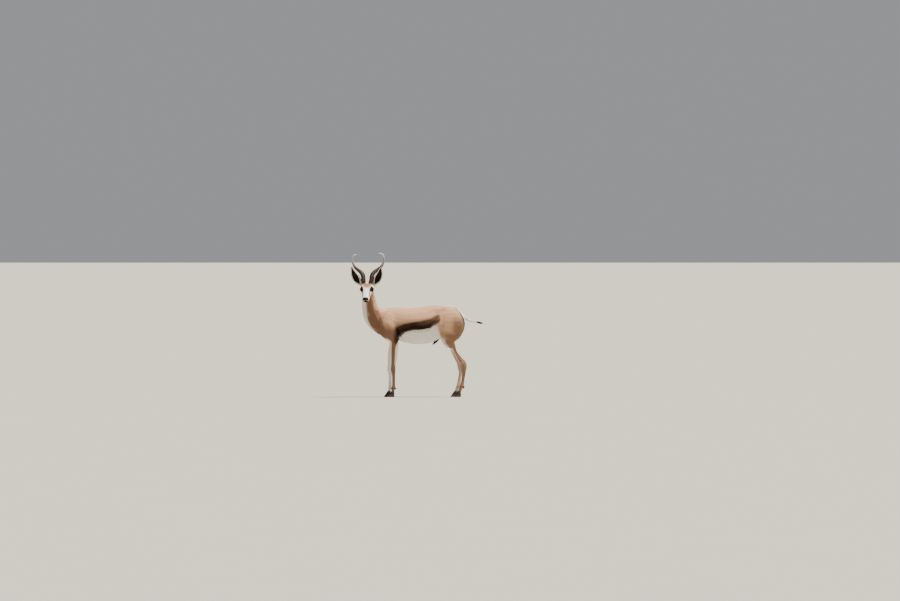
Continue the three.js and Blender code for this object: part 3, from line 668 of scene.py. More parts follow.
@dataclass
class Markings:
    """The pattern of the coat, which the skin and the hair both wear."""

    anatomy: Anatomy
    stripe_top: Path = (
        (-215, 600), (-190, 626), (-136, 645), (-58, 661), (21, 673), (100, 692), (139, 720), (162, 728), (190, 716),
    )
    stripe_bottom: Path = (
        (-192, 466), (-168, 528), (-121, 574), (-58, 590), (21, 596), (100, 610), (147, 638), (178, 661), (190, 690),
    )
    belly_top: Path = (
        (-182, 473), (-168, 528), (-121, 574), (-58, 590), (21, 596), (100, 610), (140, 632), (156, 624), (167, 608),
        (194, 520), (240, 480),
    )
    throat_edge: Path = (
        (-352, 546), (-396, 590), (-428, 634), (-446, 678), (-453, 722), (-463, 790), (-466, 850), (-468, 930),
    )
    chest_edge: Path = ((-280, 560), (-298, 606), (-330, 700), (-352, 770), (-392, 900))
    foreleg_edge: Path = ((150, -190), (232, -193), (292, -210), (420, -206), (480, -194))
    rump_edge: Path = (
        (396, 520), (402, 564), (405, 640), (402, 700), (384, 742), (340, 782), (280, 800), (205, 812),
    )
    rump_half: Path = ((520, 44), (600, 62), (720, 62), (790, 50))
    eye_stripe: Path = (
        (62, 49, -11), (80, 42, -13.5), (97, 35.5, -19.5), (112, 32, -24.5), (128, 29.5, -28.5), (146, 28, -33),
        (164, 27.5, -39),
    )
    nose_half: Path = ((-63, 4), (-51, 4.5), (-46, 10), (-41, 24), (-34, 26), (-28, 22), (-20, 9))
    nostril: Place = (201.0, 14.0, -43.0)
    back_line_from: float = 40.0

    def flank(self, x: Array, z: Array) -> tuple[Array, Array]:
        """How dark and how red-brown the stripe of the flank is, at places along the animal and heights."""
        top, bottom = (at_line(x, path) for path in (self.stripe_top, self.stripe_bottom))
        length = within(x, -220, -196, x, 194, 178)
        stripe = within(z, bottom - 4, bottom + 4, z, top + 6, top - 6) * length
        high = (z - bottom) / np.maximum(top - bottom, 1)
        red = within(x, -70, 70, high, 0.35, 0.7)
        above = within(z, top + 24, top, z, bottom, bottom + 10) * length
        elbow = within(x, -236, -204, x, -168, -178, z, 650, 590, z, 458, 490)
        return np.maximum(stripe * (1 - 0.28 * red), 0.85 * elbow), np.maximum(stripe * red, 0.45 * above)

    def legs(self, x: Array, z: Array, normals: Array, out: Array) -> tuple[Array, Array]:
        """How much of each place of the lower legs is white and red-brown, from what underside takes too."""
        fore = within(z, 500, 474, x, 0, -60)
        edge = at_line(z, self.foreleg_edge)
        brown = within(x, edge + 5, edge - 5, out, -0.3, 0.1)
        hind = within(z, 440, 400, x, 60, 100)
        pale = within(-normals[:, 0], 0.25, 0.7, z, 540, 500)
        pale = pale * within(x, 170, 190, z, 220, 460)
        low = ease(z, 150, 110)
        # The white on the back and inner faces of the forelegs is held at 0.78 of full: partly painted shade.
        white = most(0.78 * fore * (1 - brown), 0.8 * pale, 0.25 * hind * ease(out, 0.05, -0.35))
        return white * (1 - 0.7 * low), most(0.85 * fore * brown, 0.6 * hind, 0.7 * low)

    def underside(self, x: Array, z: Array, across: Array, normals: Array, out: Array) -> Array:
        """How white the belly, the breast and the inner side of the legs are.

        Args:
            x: Places along the animal, the far legs laid over the near ones.
            z: Heights.
            across: Distances from the animal's midline.
            normals: The skin's normals.
            out: How far each normal points away from the midline.
        """
        high, down = at_line(x, self.belly_top), normals[:, 2]
        belly = within(z, high + 3, high - 4, x, -188, -176, x, 240, 216)
        under = within(down, -0.4, -0.75, z, 590, 550, z, 430, 470, x, -300, -276)
        under = under * np.maximum(ease(x, -182, -200), ease(x, 214, 240))
        inner = within(out, 0.05, -0.35, z, 690, 640, x, -310, -284)
        inner = inner * (1 - 0.8 * within(z, 440, 400, x, 60, 100))
        between = np.maximum(ease(across, 58, 44), within(down, -0.15, -0.4, across, 84, 68))
        between = between * within(x, 200, 230, z, 640, 610, z, 440, 500)
        return most(belly, under, inner, between)

    def rump(self, x: Array, z: Array, across: Array, normals: Array) -> tuple[Array, Array]:
        """The white patch of the rump and the dark border round it, from the places that underside has too."""
        edge = signed_side(x, z, self.rump_edge)
        patch = within(edge, -2.5, 3, x, 190, 215, z, 520, 575)
        rear = within(normals[:, 0], 0.3, 0.6, x, 330, 360, z, 455, 500)
        half = at_line(z, self.rump_half)
        patch = np.maximum(patch * (1 - rear), rear * ease(across, half + 4, half - 4))
        border = np.maximum(bell(edge + 6, 7) * (1 - rear), rear * bell(across - half - 14, 12))
        return patch, border * within(z, 540, 580, x, 290, 370) * (1 - patch)

    def body(self, points: Array, normals: Array) -> Array:
        """The markings of the trunk, neck, legs and tail."""
        near = self.anatomy.near(points)
        x, z = near[:, 0], near[:, 2]
        across = np.abs(points[:, 1])
        out = normals[:, 1] * np.sign(points[:, 1])
        neck, thigh = self.anatomy.neckness(points), self.anatomy.upper_leg(near)[1]
        dark, russet = self.flank(x, z)
        leg_white, leg_russet = self.legs(x, z, normals, out)
        patch, border = self.rump(x, z, across, normals)
        half = mix(3.5, 26, ease(x, self.back_line_from + 60, 260))
        line = within(across, half + 3, half - 3, x, self.back_line_from, 90)
        line = line * ease(normals[:, 2], 0.4, 0.7)
        throat = ease(signed_side(x, z, self.throat_edge), 6, -6) * within(z, 545, 585, x, -330, -346)
        ahead = within(-normals[:, 0], 0.75, 0.95, x, -330, -380, across, 66, 48)
        under = self.underside(x, z, across, normals, out)
        tail = self.anatomy.tailness(points)
        white = most(under, leg_white, patch, line, 0.93 * np.maximum(throat, ahead), tail)

        # Red-brown down the neck's side and the chest: partly the coat's own colour, partly painted shade; less of
        # it where the neck faces back, a painted lit edge.
        chest = ease(signed_side(x, z, self.chest_edge), 14, -14) * ease(z, 520, 560)
        chest = chest * (1 - 0.75 * ease(normals[:, 0], 0.2, 0.7) * neck)
        elbow = within(z, 672, 580, x, -172, -192, z, 440, 470, out, -0.3, 0.1)
        # Grey-brown on the rear and lower thigh: partly the coat's own colour, partly painted shade.
        haunch_brown_and_shade = 0.8 * thigh * np.maximum(within(x, 262, 330, z, 740, 660), ease(z, 600, 540))
        haunch_brown_and_shade = np.maximum(haunch_brown_and_shade, 0.72 * within(z, 560, 500, x, 170, 200))
        russet = most(russet, 0.7 * border, 0.9 * chest, 0.85 * elbow, leg_russet, haunch_brown_and_shade)
        dark = np.maximum(np.maximum(dark, border) * (1 - white), 0.7 * ease(z, 62, 48))
        return shares(white, dark, russet * (1 - white), 0.0)

    def face(self, points: Array) -> Array:
        """The markings of the head."""
        frame = self.anatomy.frame
        head = frame.to_head(points)
        left = folded(head)
        x, y, z = left.T
        gap, along = distance_to_path(left, self.eye_stripe)
        reach = mix(13, 4.2, ease(along, 0.1, 0.6))
        stripe = ease(gap, reach + 2, reach - 2)
        ahead, across, outwards = EyeAxes(Side.LEFT).seen(left - frame.eye(Side.LEFT))
        lids = ease(np.hypot((ahead - 7) / 28, (across + 1) / 18.5), 1.07, 0.93) * ease(outwards, -30, -20)
        lips = ease(np.abs(self.anatomy.mouth_gap(head)), 3.4, 1.4) * ease(x, 128, 150)
        # Dark over the front of both lips: partly dark lips, partly a painted shadow under the upper lip.
        lower = within(x, 160, 174, z, -50.5, -53, z, -84, -78, y, 23, 18)
        wide = at_line(z, self.nose_half)
        pad = within(x, 184, 192, z, -66, -62, z, -19, -24, y, wide + 2, wide - 1.5)
        pit = ease(size_of(left - np.array(self.nostril)), 12.5, 10)
        bare = most(pad, pit, 0.85 * lips)
        uneven = 5 * np.sin(0.31 * head[:, 1] + 1) * np.sin(0.17 * x) + 3 * np.sin(0.9 * head[:, 1] + 0.5 * x)
        forehead = within(x + 0.35 * y + uneven, 96, 62, y + uneven, 54, 26, z, -40, -12)
        temple = within(x, 22, -4, z, -8, -30, y, 30, 40)
        nape = ease(x, -30, -56)
        cheek = within(x, 6, -28, z, -56, -24)
        # A pale spot between the horns: partly the pale tuft there, partly a painted highlight on it.
        pale_poll_and_highlight = within(x, 24, 8, y, 14, 8, z, -30, -8)
        tan = most(forehead, 0.7 * temple, nape, cheek) * (1 - 0.85 * pale_poll_and_highlight)
        dark = most(mix(1, 0.96, along) * stripe, lids, lower)
        russet = 0.7 * forehead * (1 - pale_poll_and_highlight)
        return shares((1 - tan) * (1 - most(stripe, lids)), dark, russet, bare)

    def at(self, points: Array, normals: Array) -> Array:
        """The markings at each point, as four shares."""
        marks = self.body(points, normals)
        share = self.anatomy.headness(points)[:, None]
        on_head = share[:, 0] > 0.001
        marks[on_head] = mix(marks[on_head], self.face(points[on_head]), share[on_head])
        return marks


@dataclass
class Skin:
    """One skin over every fleshy node, without a seam, a coat's depth inside them."""

    frame: AnimalFrame
    anatomy: Anatomy
    markings: Markings
    voxel: float = 3.0
    grow: float = 0.35
    body_share: float = 0.355
    rounds: int = 110
    tail_rows: Path = (
        (384, 0, 712, 13, 13, 16), (408, 0, 703, 13, 13, 14), (440, -2, 683, 11, 11, 10), (472, -5, 671, 9, 9, 8),
        (502, -8, 664, 7.5, 7.5, 6.5), (528, -10, 659, 6, 6, 5.5), (548, -11, 655, 2.5, 2.5, 2.5),
    )

    def nodes(self) -> list[str]:
        """The fleshy nodes of the frame."""
        upper = {"foreleg": ("shoulder", "forearm"), "hindleg": ("thigh", "gaskin")}
        legs = [(leg, (*pieces, "cannon", "hoof")) for leg, pieces in upper.items()]
        names = [f"{leg}_{side.word}_{piece}" for leg, pieces in legs for side in Side for piece in pieces]
        return names + ["head", "neck", "torso", "tail"]

    def tail_place(self, t: Array) -> Array:
        """The tail's centre line, then its reach, for places from 0 at the root to 1 at the tip."""
        return curve(self.tail_rows, t)

    def tail_core(self, rings: int = 40, sides: int = 20) -> tuple[Array, Array]:
        """The flesh of the tail."""
        rows = self.tail_place(np.linspace(0, 1, rings))
        angle = turns(sides)
        across = np.tile([0, 1, 0], (rings, 1))
        up = unit(np.cross(np.gradient(rows[:, :3], axis=0), across)) * -1
        return loft(
            rows[:, None, :3]
            + across[:, None] * (rows[:, 3, None] * np.cos(angle))[..., None]
            + up[:, None] * (rows[:, 5, None] * np.sin(angle))[..., None]
        )

    def gathered(self) -> Object:
        """All the flesh in one mesh, each node grown a little so that neighbours meet."""
        pieces = []
        for name in self.nodes():
            if name == "tail":
                continue
            work = bmesh.new()
            work.from_mesh(bpy.data.objects[name].data)
            bmesh.ops.remove_doubles(work, verts=work.verts, dist=1e-6)
            bmesh.ops.triangulate(work, faces=work.faces)
            work.normal_update()
            for vertex in work.verts:
                vertex.co += vertex.normal * self.grow * MM
            work.verts.index_update()
            corners = [[vertex.index for vertex in face.verts] for face in work.faces]
            pieces.append((np.array([vertex.co for vertex in work.verts]), np.array(corners)))
            work.free()
        points, faces = self.tail_core()
        return mesh_object("skin", *joined([*pieces, (self.frame.to_row(points), faces)]))

    def rounded(self, made: Object) -> None:
        """Evens out the facets of the solids, most on the trunk, without drawing the flesh in on the whole."""
        points = self.frame.places(made)
        leg, head, tail = self.anatomy.legness(points), self.anatomy.headness(points), self.anatomy.tailness(points)
        share = mix(mix(0.5, 0.065, leg), 0.025, ease(points[:, 2], 120, 80))
        share = mix(mix(share, 0.07, head), 0.05, tail)
        edges = edges_of(made.data)
        moved = smoothed(points, edges, share, self.rounds)
        self.frame.move(made, moved)
        normals = normals_of(made.data)
        drawn = np.sum((moved - points) * normals, axis=1, keepdims=True)
        drawn = smoothed(drawn, edges, np.full(len(points), 0.5), 45)
        self.frame.move(made, moved - normals * drawn)

    def thinned(self, made: Object) -> None:
        """Takes faces out of the broad plain parts, to keep them for the head and the feet."""
        points = self.frame.places(made)
        keep = np.round(np.maximum(self.anatomy.headness(points), 0.6 * self.anatomy.legness(points)), 1)
        group = made.vertex_groups.new(name="broad")
        for level in np.unique(keep):
            group.add(np.nonzero(np.abs(keep - level) < 0.01)[0].tolist(), float(1 - level), "REPLACE")
        thin = made.modifiers.new("thin", "DECIMATE")
        thin.ratio = self.body_share
        thin.vertex_group = "broad"
        thin.vertex_group_factor = 1
        applied(made)
        made.vertex_groups.clear()

    def refined(self, made: Object) -> None:
        """Divides the faces by the eyes, the nostrils and the mouth."""
        work = bmesh.new()
        work.from_mesh(made.data)
        work.verts.ensure_lookup_table()
        chosen = self.near_features(self.frame.places(made))
        edges = [e for e in work.edges if chosen[e.verts[0].index] and chosen[e.verts[1].index]]
        bmesh.ops.subdivide_edges(work, edges=edges, cuts=1, use_grid_fill=True, smooth=0)
        bmesh.ops.triangulate(work, faces=[f for f in work.faces if len(f.verts) > 4])
        work.to_mesh(made.data)
        work.free()
        made.data.update()

    def near_features(self, points: Array) -> Array:
        """Whether points lie by the eyes, the nostrils or the mouth."""
        head = self.frame.to_head(points)
        eye = size_of(folded(head) - self.frame.eye(Side.LEFT)) < 27
        nose = (head[:, 0] > 186) & (head[:, 2] > -70)
        mouth = (np.abs(self.anatomy.mouth_gap(head)) < 7) & (head[:, 0] > 122)
        return (eye & (np.abs(head[:, 1]) > 40)) | nose | mouth

    def carved(self, made: Object) -> None:
        """Gives the skin its muscles, its face and its coat's depth."""
        points = self.frame.places(made)
        normals = normals_of(made.data)
        head_share = self.anatomy.headness(points)
        on_head = head_share > 0.001
        height = self.anatomy.swell(points, normals) * (1 - head_share)
        height -= self.anatomy.coat_depth(points)
        head = self.frame.to_head(points[on_head])
        height[on_head] += self.anatomy.head_swell(head) * head_share[on_head]
        points = points + normals * height[:, None]
        head = self.face_carved(self.frame.to_head(points[on_head]), normals[on_head] @ self.frame.turn)
        points[on_head] = self.frame.from_head(head)
        self.frame.move(made, points)

    def face_carved(self, head: Array, normals: Array) -> Array:
        """Points of the head with the nostrils and mouth sunk, the lips raised and the sockets opened."""
        depth = 6.5 * self.anatomy.nostril(head)
        gap = self.anatomy.mouth_gap(head)
        ahead = ease(head[:, 0], 128, 142)
        groove = ease(np.abs(gap), 1.7, 0.4) * ahead
        upper, under = bell(gap - 4.2, 3) * ahead, bell(gap + 4.4, 3) * ahead
        cleft = bell(head[:, 1], 1.3) * within(head[:, 0], 196, 203, head[:, 2], -36, -44)
        rim = self.anatomy.nostril(head * np.array([1, 0.93, 1])) - self.anatomy.nostril(head)
        height = -depth - 2.4 * groove + 0.9 * upper + 0.5 * under - 1.2 * cleft + 0.8 * np.clip(rim, 0, 1)
        moved = head + normals * height[:, None]
        for side in Side:
            centre = self.frame.eye(side)
            away = moved - centre
            distance = size_of(away)
            beside = within(away[:, 1] * side.value, 0, 6, distance, 30, 22)
            lid = self.frame.eye_radius + 1.2
            raised = mix(distance, np.maximum(distance, lid), beside)
            along, across, _ = EyeAxes(side).seen(away)
            opening = ease(np.hypot(along / 12.6, across / 8), 1.1, 0.9) * beside
            raised = mix(raised, self.frame.eye_radius - 4, opening)
            moved = centre + away * (raised / np.maximum(distance, 1e-6))[:, None]
        return moved

    def build(self, material: Material) -> Object:
        """Makes the skin and dresses it."""
        made = self.gathered()
        remesh = made.modifiers.new("skin", "REMESH")
        remesh.mode = "VOXEL"
        remesh.voxel_size = self.voxel * MM
        applied(made)
        self.rounded(made)
        self.thinned(made)
        for _ in range(2):
            self.refined(made)
        evened(made, np.where(self.anatomy.headness(self.frame.places(made)) > 0.5, 0.3, 0.12), 3)
        self.carved(made)
        evened(made, 0.25 * self.near_features(self.frame.places(made)), 2)
        paint(made, marks=self.markings.at(self.frame.places(made), normals_of(made.data)))
        return dress(made, material, "coat_tan", *self.nodes())


@dataclass(frozen=True)
class EyeAxes:
    """The directions of one eye: along its opening to the nose, across it upwards, and outwards."""

    side: Side
    dip: float = 16.0

    def axes(self) -> Array:
        """The three directions as rows, in the head's frame."""
        dip = math.radians(self.dip)
        out = unit(np.array([0.3, self.side.value, 0.16]))
        ahead = np.array([math.cos(dip), 0, -math.sin(dip)])
        along = unit(ahead - out * (ahead @ out))
        up = np.cross(out, along) * (1 if self.side is Side.LEFT else -1)
        return np.stack([along, up if up[2] > 0 else -up, out])

    def seen(self, away: Array) -> tuple[Array, Array, Array]:
        """Points away from the eye's centre, along its three directions."""
        local = away @ self.axes().T
        return local[:, 0], local[:, 1], local[:, 2]


@dataclass
class Lids:
    """The rims of both lids, which hug the eyeball."""

    frame: AnimalFrame
    half_length: float = 13.2
    half_height: tuple[float, float] = (8.6, 7.2)
    points_round: int = 96
    profile: Path = (
        (0.965, -0.3), (0.985, 0.7), (1.02, 1.4), (1.08, 1.8), (1.18, 1.9), (1.30, 1.6), (1.42, 1.2), (1.58, 0.2),
        (1.78, -1.6),
    )

    def rim(self, scale: float, above: float) -> Array:
        """One ring round the opening, by its size against the opening and its height above the eyeball."""
        angle = turns(self.points_round)
        sine = np.sin(angle)
        high = np.where(sine > 0, *self.half_height)
        corner = 1 + 0.10 * np.clip(np.cos(angle), 0, 1) ** 12
        a = scale * self.half_length * np.cos(angle) * corner
        b = scale * high * np.sign(sine) * np.abs(sine) ** 1.12
        radius = self.frame.eye_radius + above
        reach = np.minimum(np.hypot(a, b), radius * 0.985)
        shrink = reach / np.maximum(np.hypot(a, b), 1e-6)
        a, b = a * shrink, b * shrink
        return np.stack([a, b, np.sqrt(radius**2 - a**2 - b**2)], 1)

    def build(self, material: Material) -> None:
        """Makes the lids of both eyes."""
        for side in Side:
            rings = np.stack([self.rim(scale, above) for scale, above in self.profile])
            points, faces = loft(rings @ EyeAxes(side).axes() + self.frame.eye(side), closed=False)
            a, b, c = (points[faces[:, i]] for i in range(3))
            if np.sum(np.cross(b - a, c - a) * ((a + b + c) / 3 - self.frame.eye(side))) < 0:
                faces = faces[:, ::-1]
            made = self.frame.on_head(f"lids_{side.word}", points, faces)
            naked = np.repeat(ease(np.linspace(1, 0, len(self.profile)), 0.4, 0.7), self.points_round)
            paint(made, marks=shares(0.0, 1.0, 0.0, naked))
            dress(made, material, "coat_tan")


@dataclass
class Eyes:
    """Two wet dark eyeballs."""

    frame: AnimalFrame
    detail: int = 48
    pupil: tuple[float, float] = (7.2, 3.4)

    def build(self, material: Material) -> None:
        """Makes both eyeballs, each with its pupil marked along the opening of the lids."""
        for side in Side:
            radius = self.frame.eye_radius
            rings = ball(np.linspace(0, np.pi, self.detail), turns(2 * self.detail), (radius, radius, radius))
            points, faces = loft(rings[1:-1])
            x, y, z = points.T
            face = ease(z, 0, 2)
            iris = ease(np.hypot(x, y) / radius, 0.80, 0.70) * face
            pupil = ease(np.hypot(x / self.pupil[0], y / self.pupil[1]), 1.08, 0.92) * face
            points = points @ EyeAxes(side).axes() + self.frame.eye(side)
            made = self.frame.on_head(f"eyeball_{side.word}", points, outward(points, faces))
            paint(made, iris=iris, pupil=pupil)
            dress(made, material, "eye", f"eye_{side.word}")


@dataclass
class Horns:
    """Two lyre-shaped horns, ringed on their lower two thirds and smooth at the tips."""

    frame: AnimalFrame
    base_radius: float = 20.8
    stretch: tuple[float, float] = (1.05, 1.0)
    path: Path = (
        (32, -24, 6), (34, 0, 4), (36.5, 31, 9), (42, 60, 18), (60, 84, 32), (87, 105, 46), (114, 127, 58),
        (131, 154, 66), (140, 186, 68), (138, 212, 62), (127, 232, 52), (112, 240, 43), (97, 239, 35),
    )
    radii: tuple[float, ...] = (0.95, 1, 1, 0.96, 0.85, 0.71, 0.58, 0.48, 0.39, 0.31, 0.23, 0.15, 0.06)
    ridge_count: int = 19
    ridge_from: float = 0.085
    ridge_to: float = 0.68
    ridge_height: float = 0.07
    rings: int = 300
    sides: int = 40
    foot_rings: int = 45

    def __post_init__(self) -> None:
        """Readies the rings at the foot of each horn."""
        self.feet: dict[Side, Array] = {}

    def ridges(self, t: Array, rng: np.random.Generator) -> Array:
        """How high the rings stand at each place along a horn, each a little unlike the last."""
        place = np.clip((t - self.ridge_from) / (self.ridge_to - self.ridge_from), 0, 1) ** (1 / 0.92)
        height = np.abs(np.sin(np.pi * place * self.ridge_count)) ** 0.8 - 0.45
        height *= within(t, self.ridge_from - 0.01, self.ridge_from + 0.02, t, 0.72, 0.60)
        return height * (1 + 0.35 * through(rng.uniform(-1, 1, 24), t))

    def build(self, material: Material) -> None:
        """Makes both horns."""
        rng = np.random.default_rng(11)
        t, angle = np.linspace(0, 1, self.rings), turns(self.sides)
        for side, stretch in zip(Side, self.stretch):
            path = [(out, up * stretch, behind) for out, up, behind in self.path]
            centre = curve(self.frame.raised(side, path), t)
            along = unit(np.gradient(centre, axis=0))
            front = unit(flattened(np.array([1, 0, 0]), along))
            across = np.cross(along, front)
            height = self.ridges(t, rng)
            stronger = 0.75 + 0.45 * np.clip(np.cos(angle), 0, 1)
            reach = through(self.radii, t) * self.base_radius
            reach = reach[:, None] * (1 + self.ridge_height * height[:, None] * stronger)
            rings = centre[:, None] + front[:, None] * (1.06 * reach * np.cos(angle))[..., None]
            rings = rings + across[:, None] * (0.95 * reach * np.sin(angle))[..., None]
            self.feet[side] = rings[:self.foot_rings]
            made = self.frame.on_head(f"horn_sheath_{side.word}", *loft(rings))
            groove = np.append(np.repeat(ease(height, 0.1, -0.42), self.sides), [0, 0])
            paint(made, reach=np.append(np.repeat(t, self.sides), [t[0], t[-1]]), groove=groove)
            dress(made, material, "horn", f"horn_{side.word}")


@dataclass
class Ears:
    """Two tall ears: a leaf rolled round a dark opening."""

    frame: AnimalFrame
    path: Path = (
        (47, -32, 49), (65, -9, 44), (83, 16, 35), (99, 44, 25), (112, 74, 13), (121, 105, 4), (127, 136, -4),
    )
    splay: tuple[float, float] = (-5.0, 14.0)
    half_width: tuple[float, ...] = (15, 20, 27.5, 33, 34.5, 32.5, 28, 21, 12, 2)
    wrap: tuple[float, ...] = (165, 155, 136, 116, 103, 94, 87, 81, 76, 70)
    rows: int = 90
    arc: int = 48

    def __post_init__(self) -> None:
        """Readies the places that hair grows from."""
        self.grids: dict[Side, tuple[Array, ...]] = {}

    def surface(self, side: Side) -> tuple[Array, Array, Array, Array]:
        """The faces of one ear.

        Returns:
            The inner and the outer grid of points, how far up the ear each row is, and how far from its
            midline each column is, from -1 to 1.
        """
        splay = self.splay[list(Side).index(side)] * np.sqrt(np.linspace(0, 1, len(self.path)))
        path = [(out + more, up, behind) for (out, up, behind), more in zip(self.path, splay)]
        t = np.linspace(0, 1, self.rows)
        centre = curve(self.frame.raised(side, path), t)
        along = unit(np.gradient(centre, axis=0))
        opening = unit(flattened(np.array([0, side.value * 0.3, 0]) - self.frame.back, along))
        across = np.cross(along, opening)
        u = np.linspace(-1, 1, self.arc)
        angle = np.radians(through(self.wrap, t))[:, None] * u
        thick = mix(3, 1.5, t)[:, None] * mix(1, 0.35, np.abs(u) ** 6)
        ribs = 0.5 * np.cos(9 * u)[None] * ease(t, 0.1, 0.5)[:, None] * (1 - np.abs(u))[None]

        def sheet(radius: Array) -> Array:
            """The sheet at a distance from the ear's own line."""
            deep, wide = -0.7 * radius * np.cos(angle), radius * np.sin(angle)
            return centre[:, None] + opening[:, None] * deep[..., None] + across[:, None] * wide[..., None]

        outer = np.broadcast_to(through(self.half_width, t)[:, None], angle.shape)
        inner = np.maximum(outer - thick + ribs, outer * 0.45)
        return sheet(inner), sheet(outer - 0.5), t, u

    def build(self, material: Material) -> None:
        """Makes both ears, marked by how far up and how near the rim each point is."""
        for side in Side:
            inner, outer, t, u = self.surface(side)
            leaf = loft(np.concatenate([outer, inner[:, ::-1]], axis=1))
            made = self.frame.on_head(f"ear_leaf_{side.word}", *leaf)
            inside, toward = np.repeat([0, 1], self.arc), np.append(u, u[::-1])
            marks = self.marks(t[:, None] + 0 * toward, inside, np.abs(toward), toward * side.value).reshape(-1, 4)
            paint(made, marks=np.vstack([marks, marks[:1], marks[-1:]]))
            dress(made, material, "ear", f"ear_{side.word}")
            self.grids[side] = inner, outer, t, u

    def marks(self, up: Array, inside: Array, edge: Array, toward: Array) -> Array:
        """The markings of an ear.

        Args:
            up: How far up the ear, from 0 to 1.
            inside: 1 on the inner face, 0 on the outer one.
            edge: How near the rim, from 0 on the midline to 1.
            toward: The place between the rims, below 0 towards the head's midline.

        Returns:
            Four shares, as the coat has them.
        """
        band = mix(0.84, 0.46, within(-toward, 0.1, 0.4, up, 0.1, 0.4))
        rim = ease(edge, band - 0.05, band + 0.05)
        rim = np.maximum(rim, ease(up, 0.965, 0.99))
        tip = ease(up, 0.86, 0.97)
        dark = inside * (1 - rim)
        curl = within(-toward, 0.55, 0.7, up, 1, 0.9)
        white = inside * rim + (1 - inside) * np.maximum(0.55 * ease(up, 0.35, 0), 0.9 * curl)
        dark = np.maximum(dark, (1 - inside) * 0.55 * tip)
        return shares(white, dark, 0.35 * (1 - inside), 0.3 * dark * inside)


@dataclass
class Hooves:
    """Eight claws and eight small ones behind the fetlocks."""

    frame: AnimalFrame
    anatomy: Anatomy
    front: tuple[float, float] = (-226.0, 45.0)
    hind: tuple[float, float] = (361.0, 52.0)
    fetlocks: Path = ((-202, 45, 76), (401, 54, 89))
    length: float = 60.0
    cleft: float = 1.6
    levels: Path = (
        (0, 1, 0.34, 9.4), (7, 0.93, 0.37, 10), (22, 0.72, 0.36, 9.8), (38, 0.47, 0.33, 9), (52, 0.26, 0.24, 7.4),
    )
    rings: int = 28
    sides: int = 36
    small: Place = (6.6, 4.8, 8.6)

    def claw(self, x: float, y: float, sign: int) -> tuple[Array, Array]:
        """One claw, pointed ahead and flat below, of the foot at x and y, to one side of the cleft."""
        heights = [level[0] for level in self.levels]
        height = heights[-1] * np.linspace(0, 1, self.rings) ** 1.15
        place = np.interp(height, heights, np.linspace(0, 1, len(heights)))
        _, toe, heel, half = curve(self.levels, place).T[..., None]
        angle = turns(self.sides)
        ahead = np.cos(angle)
        bevel = mix(0.985, 1, ease(height, 0, 1.5))[:, None]
        reach = 0.74 * self.length * np.where(ahead > 0, toe, heel)
        out = reach * np.sign(ahead) * np.abs(ahead) ** 1.05 * bevel
        wide = half * (1 - 0.45 * np.clip(ahead, 0, 1) ** 2) * np.sin(angle) * bevel
        middle = y + sign * (self.cleft + half)
        return loft(np.stack([x - 2 - out, middle + wide, np.broadcast_to(height[:, None], out.shape)], -1))

    def small_claw(self, centre: Array) -> tuple[Array, Array]:
        """One of the two small claws behind a fetlock."""
        points, faces = loft(ball(np.linspace(0.05, np.pi - 0.05, 16), turns(20), self.small))
        points[:, 0] -= 0.1 * (points[:, 2] + self.small[2])
        return points + centre, faces

    def build(self, material: Material) -> None:
        """Makes the claws of each foot as one piece."""
        feet = (
            ("fore", "foreleg", self.front, self.anatomy.stride_front, self.fetlocks[0]),
            ("hind", "hindleg", self.hind, self.anatomy.stride_hind, self.fetlocks[1]),
        )
        for word, leg, (x, y), stride, (behind, apart, height) in feet:
            for side in Side:
                moved = 0 if side is Side.LEFT else stride
                pieces = [self.claw(x + moved, -y * side.value, sign) for sign in (-1, 1)]
                for sign in (-1, 1):
                    centre = np.array([behind + moved, sign * 9 - side.value * apart, height])
                    pieces.append(self.small_claw(centre))
                points, faces = joined(pieces)
                made = mesh_object(f"claws_{word}_{side.word}", self.frame.to_row(points), faces)
                dress(made, material, "hoof", f"{leg}_{side.word}_hoof")


@dataclass
class Hairs:
    """Many flat tapered tufts to be made as one mesh.

    Attributes:
        roots: Where each is rooted.
        along: The way each sets out.
        bend: How its path curves, as a share of its length.
        faces: Where its flat face looks.
        length: How long it is.
        width: Its greatest width.
        marks: Its shares of the markings.
        normals: The skin's normal at its root.
    """

    roots: Array
    along: Array
    bend: Array
    faces: Array
    length: Array
    width: Array
    marks: Array
    normals: Array

    def chosen(self, which: Array) -> Hairs:
        """Some of the tufts."""
        return Hairs(*(getattr(self, name)[which] for name in self.__dataclass_fields__))


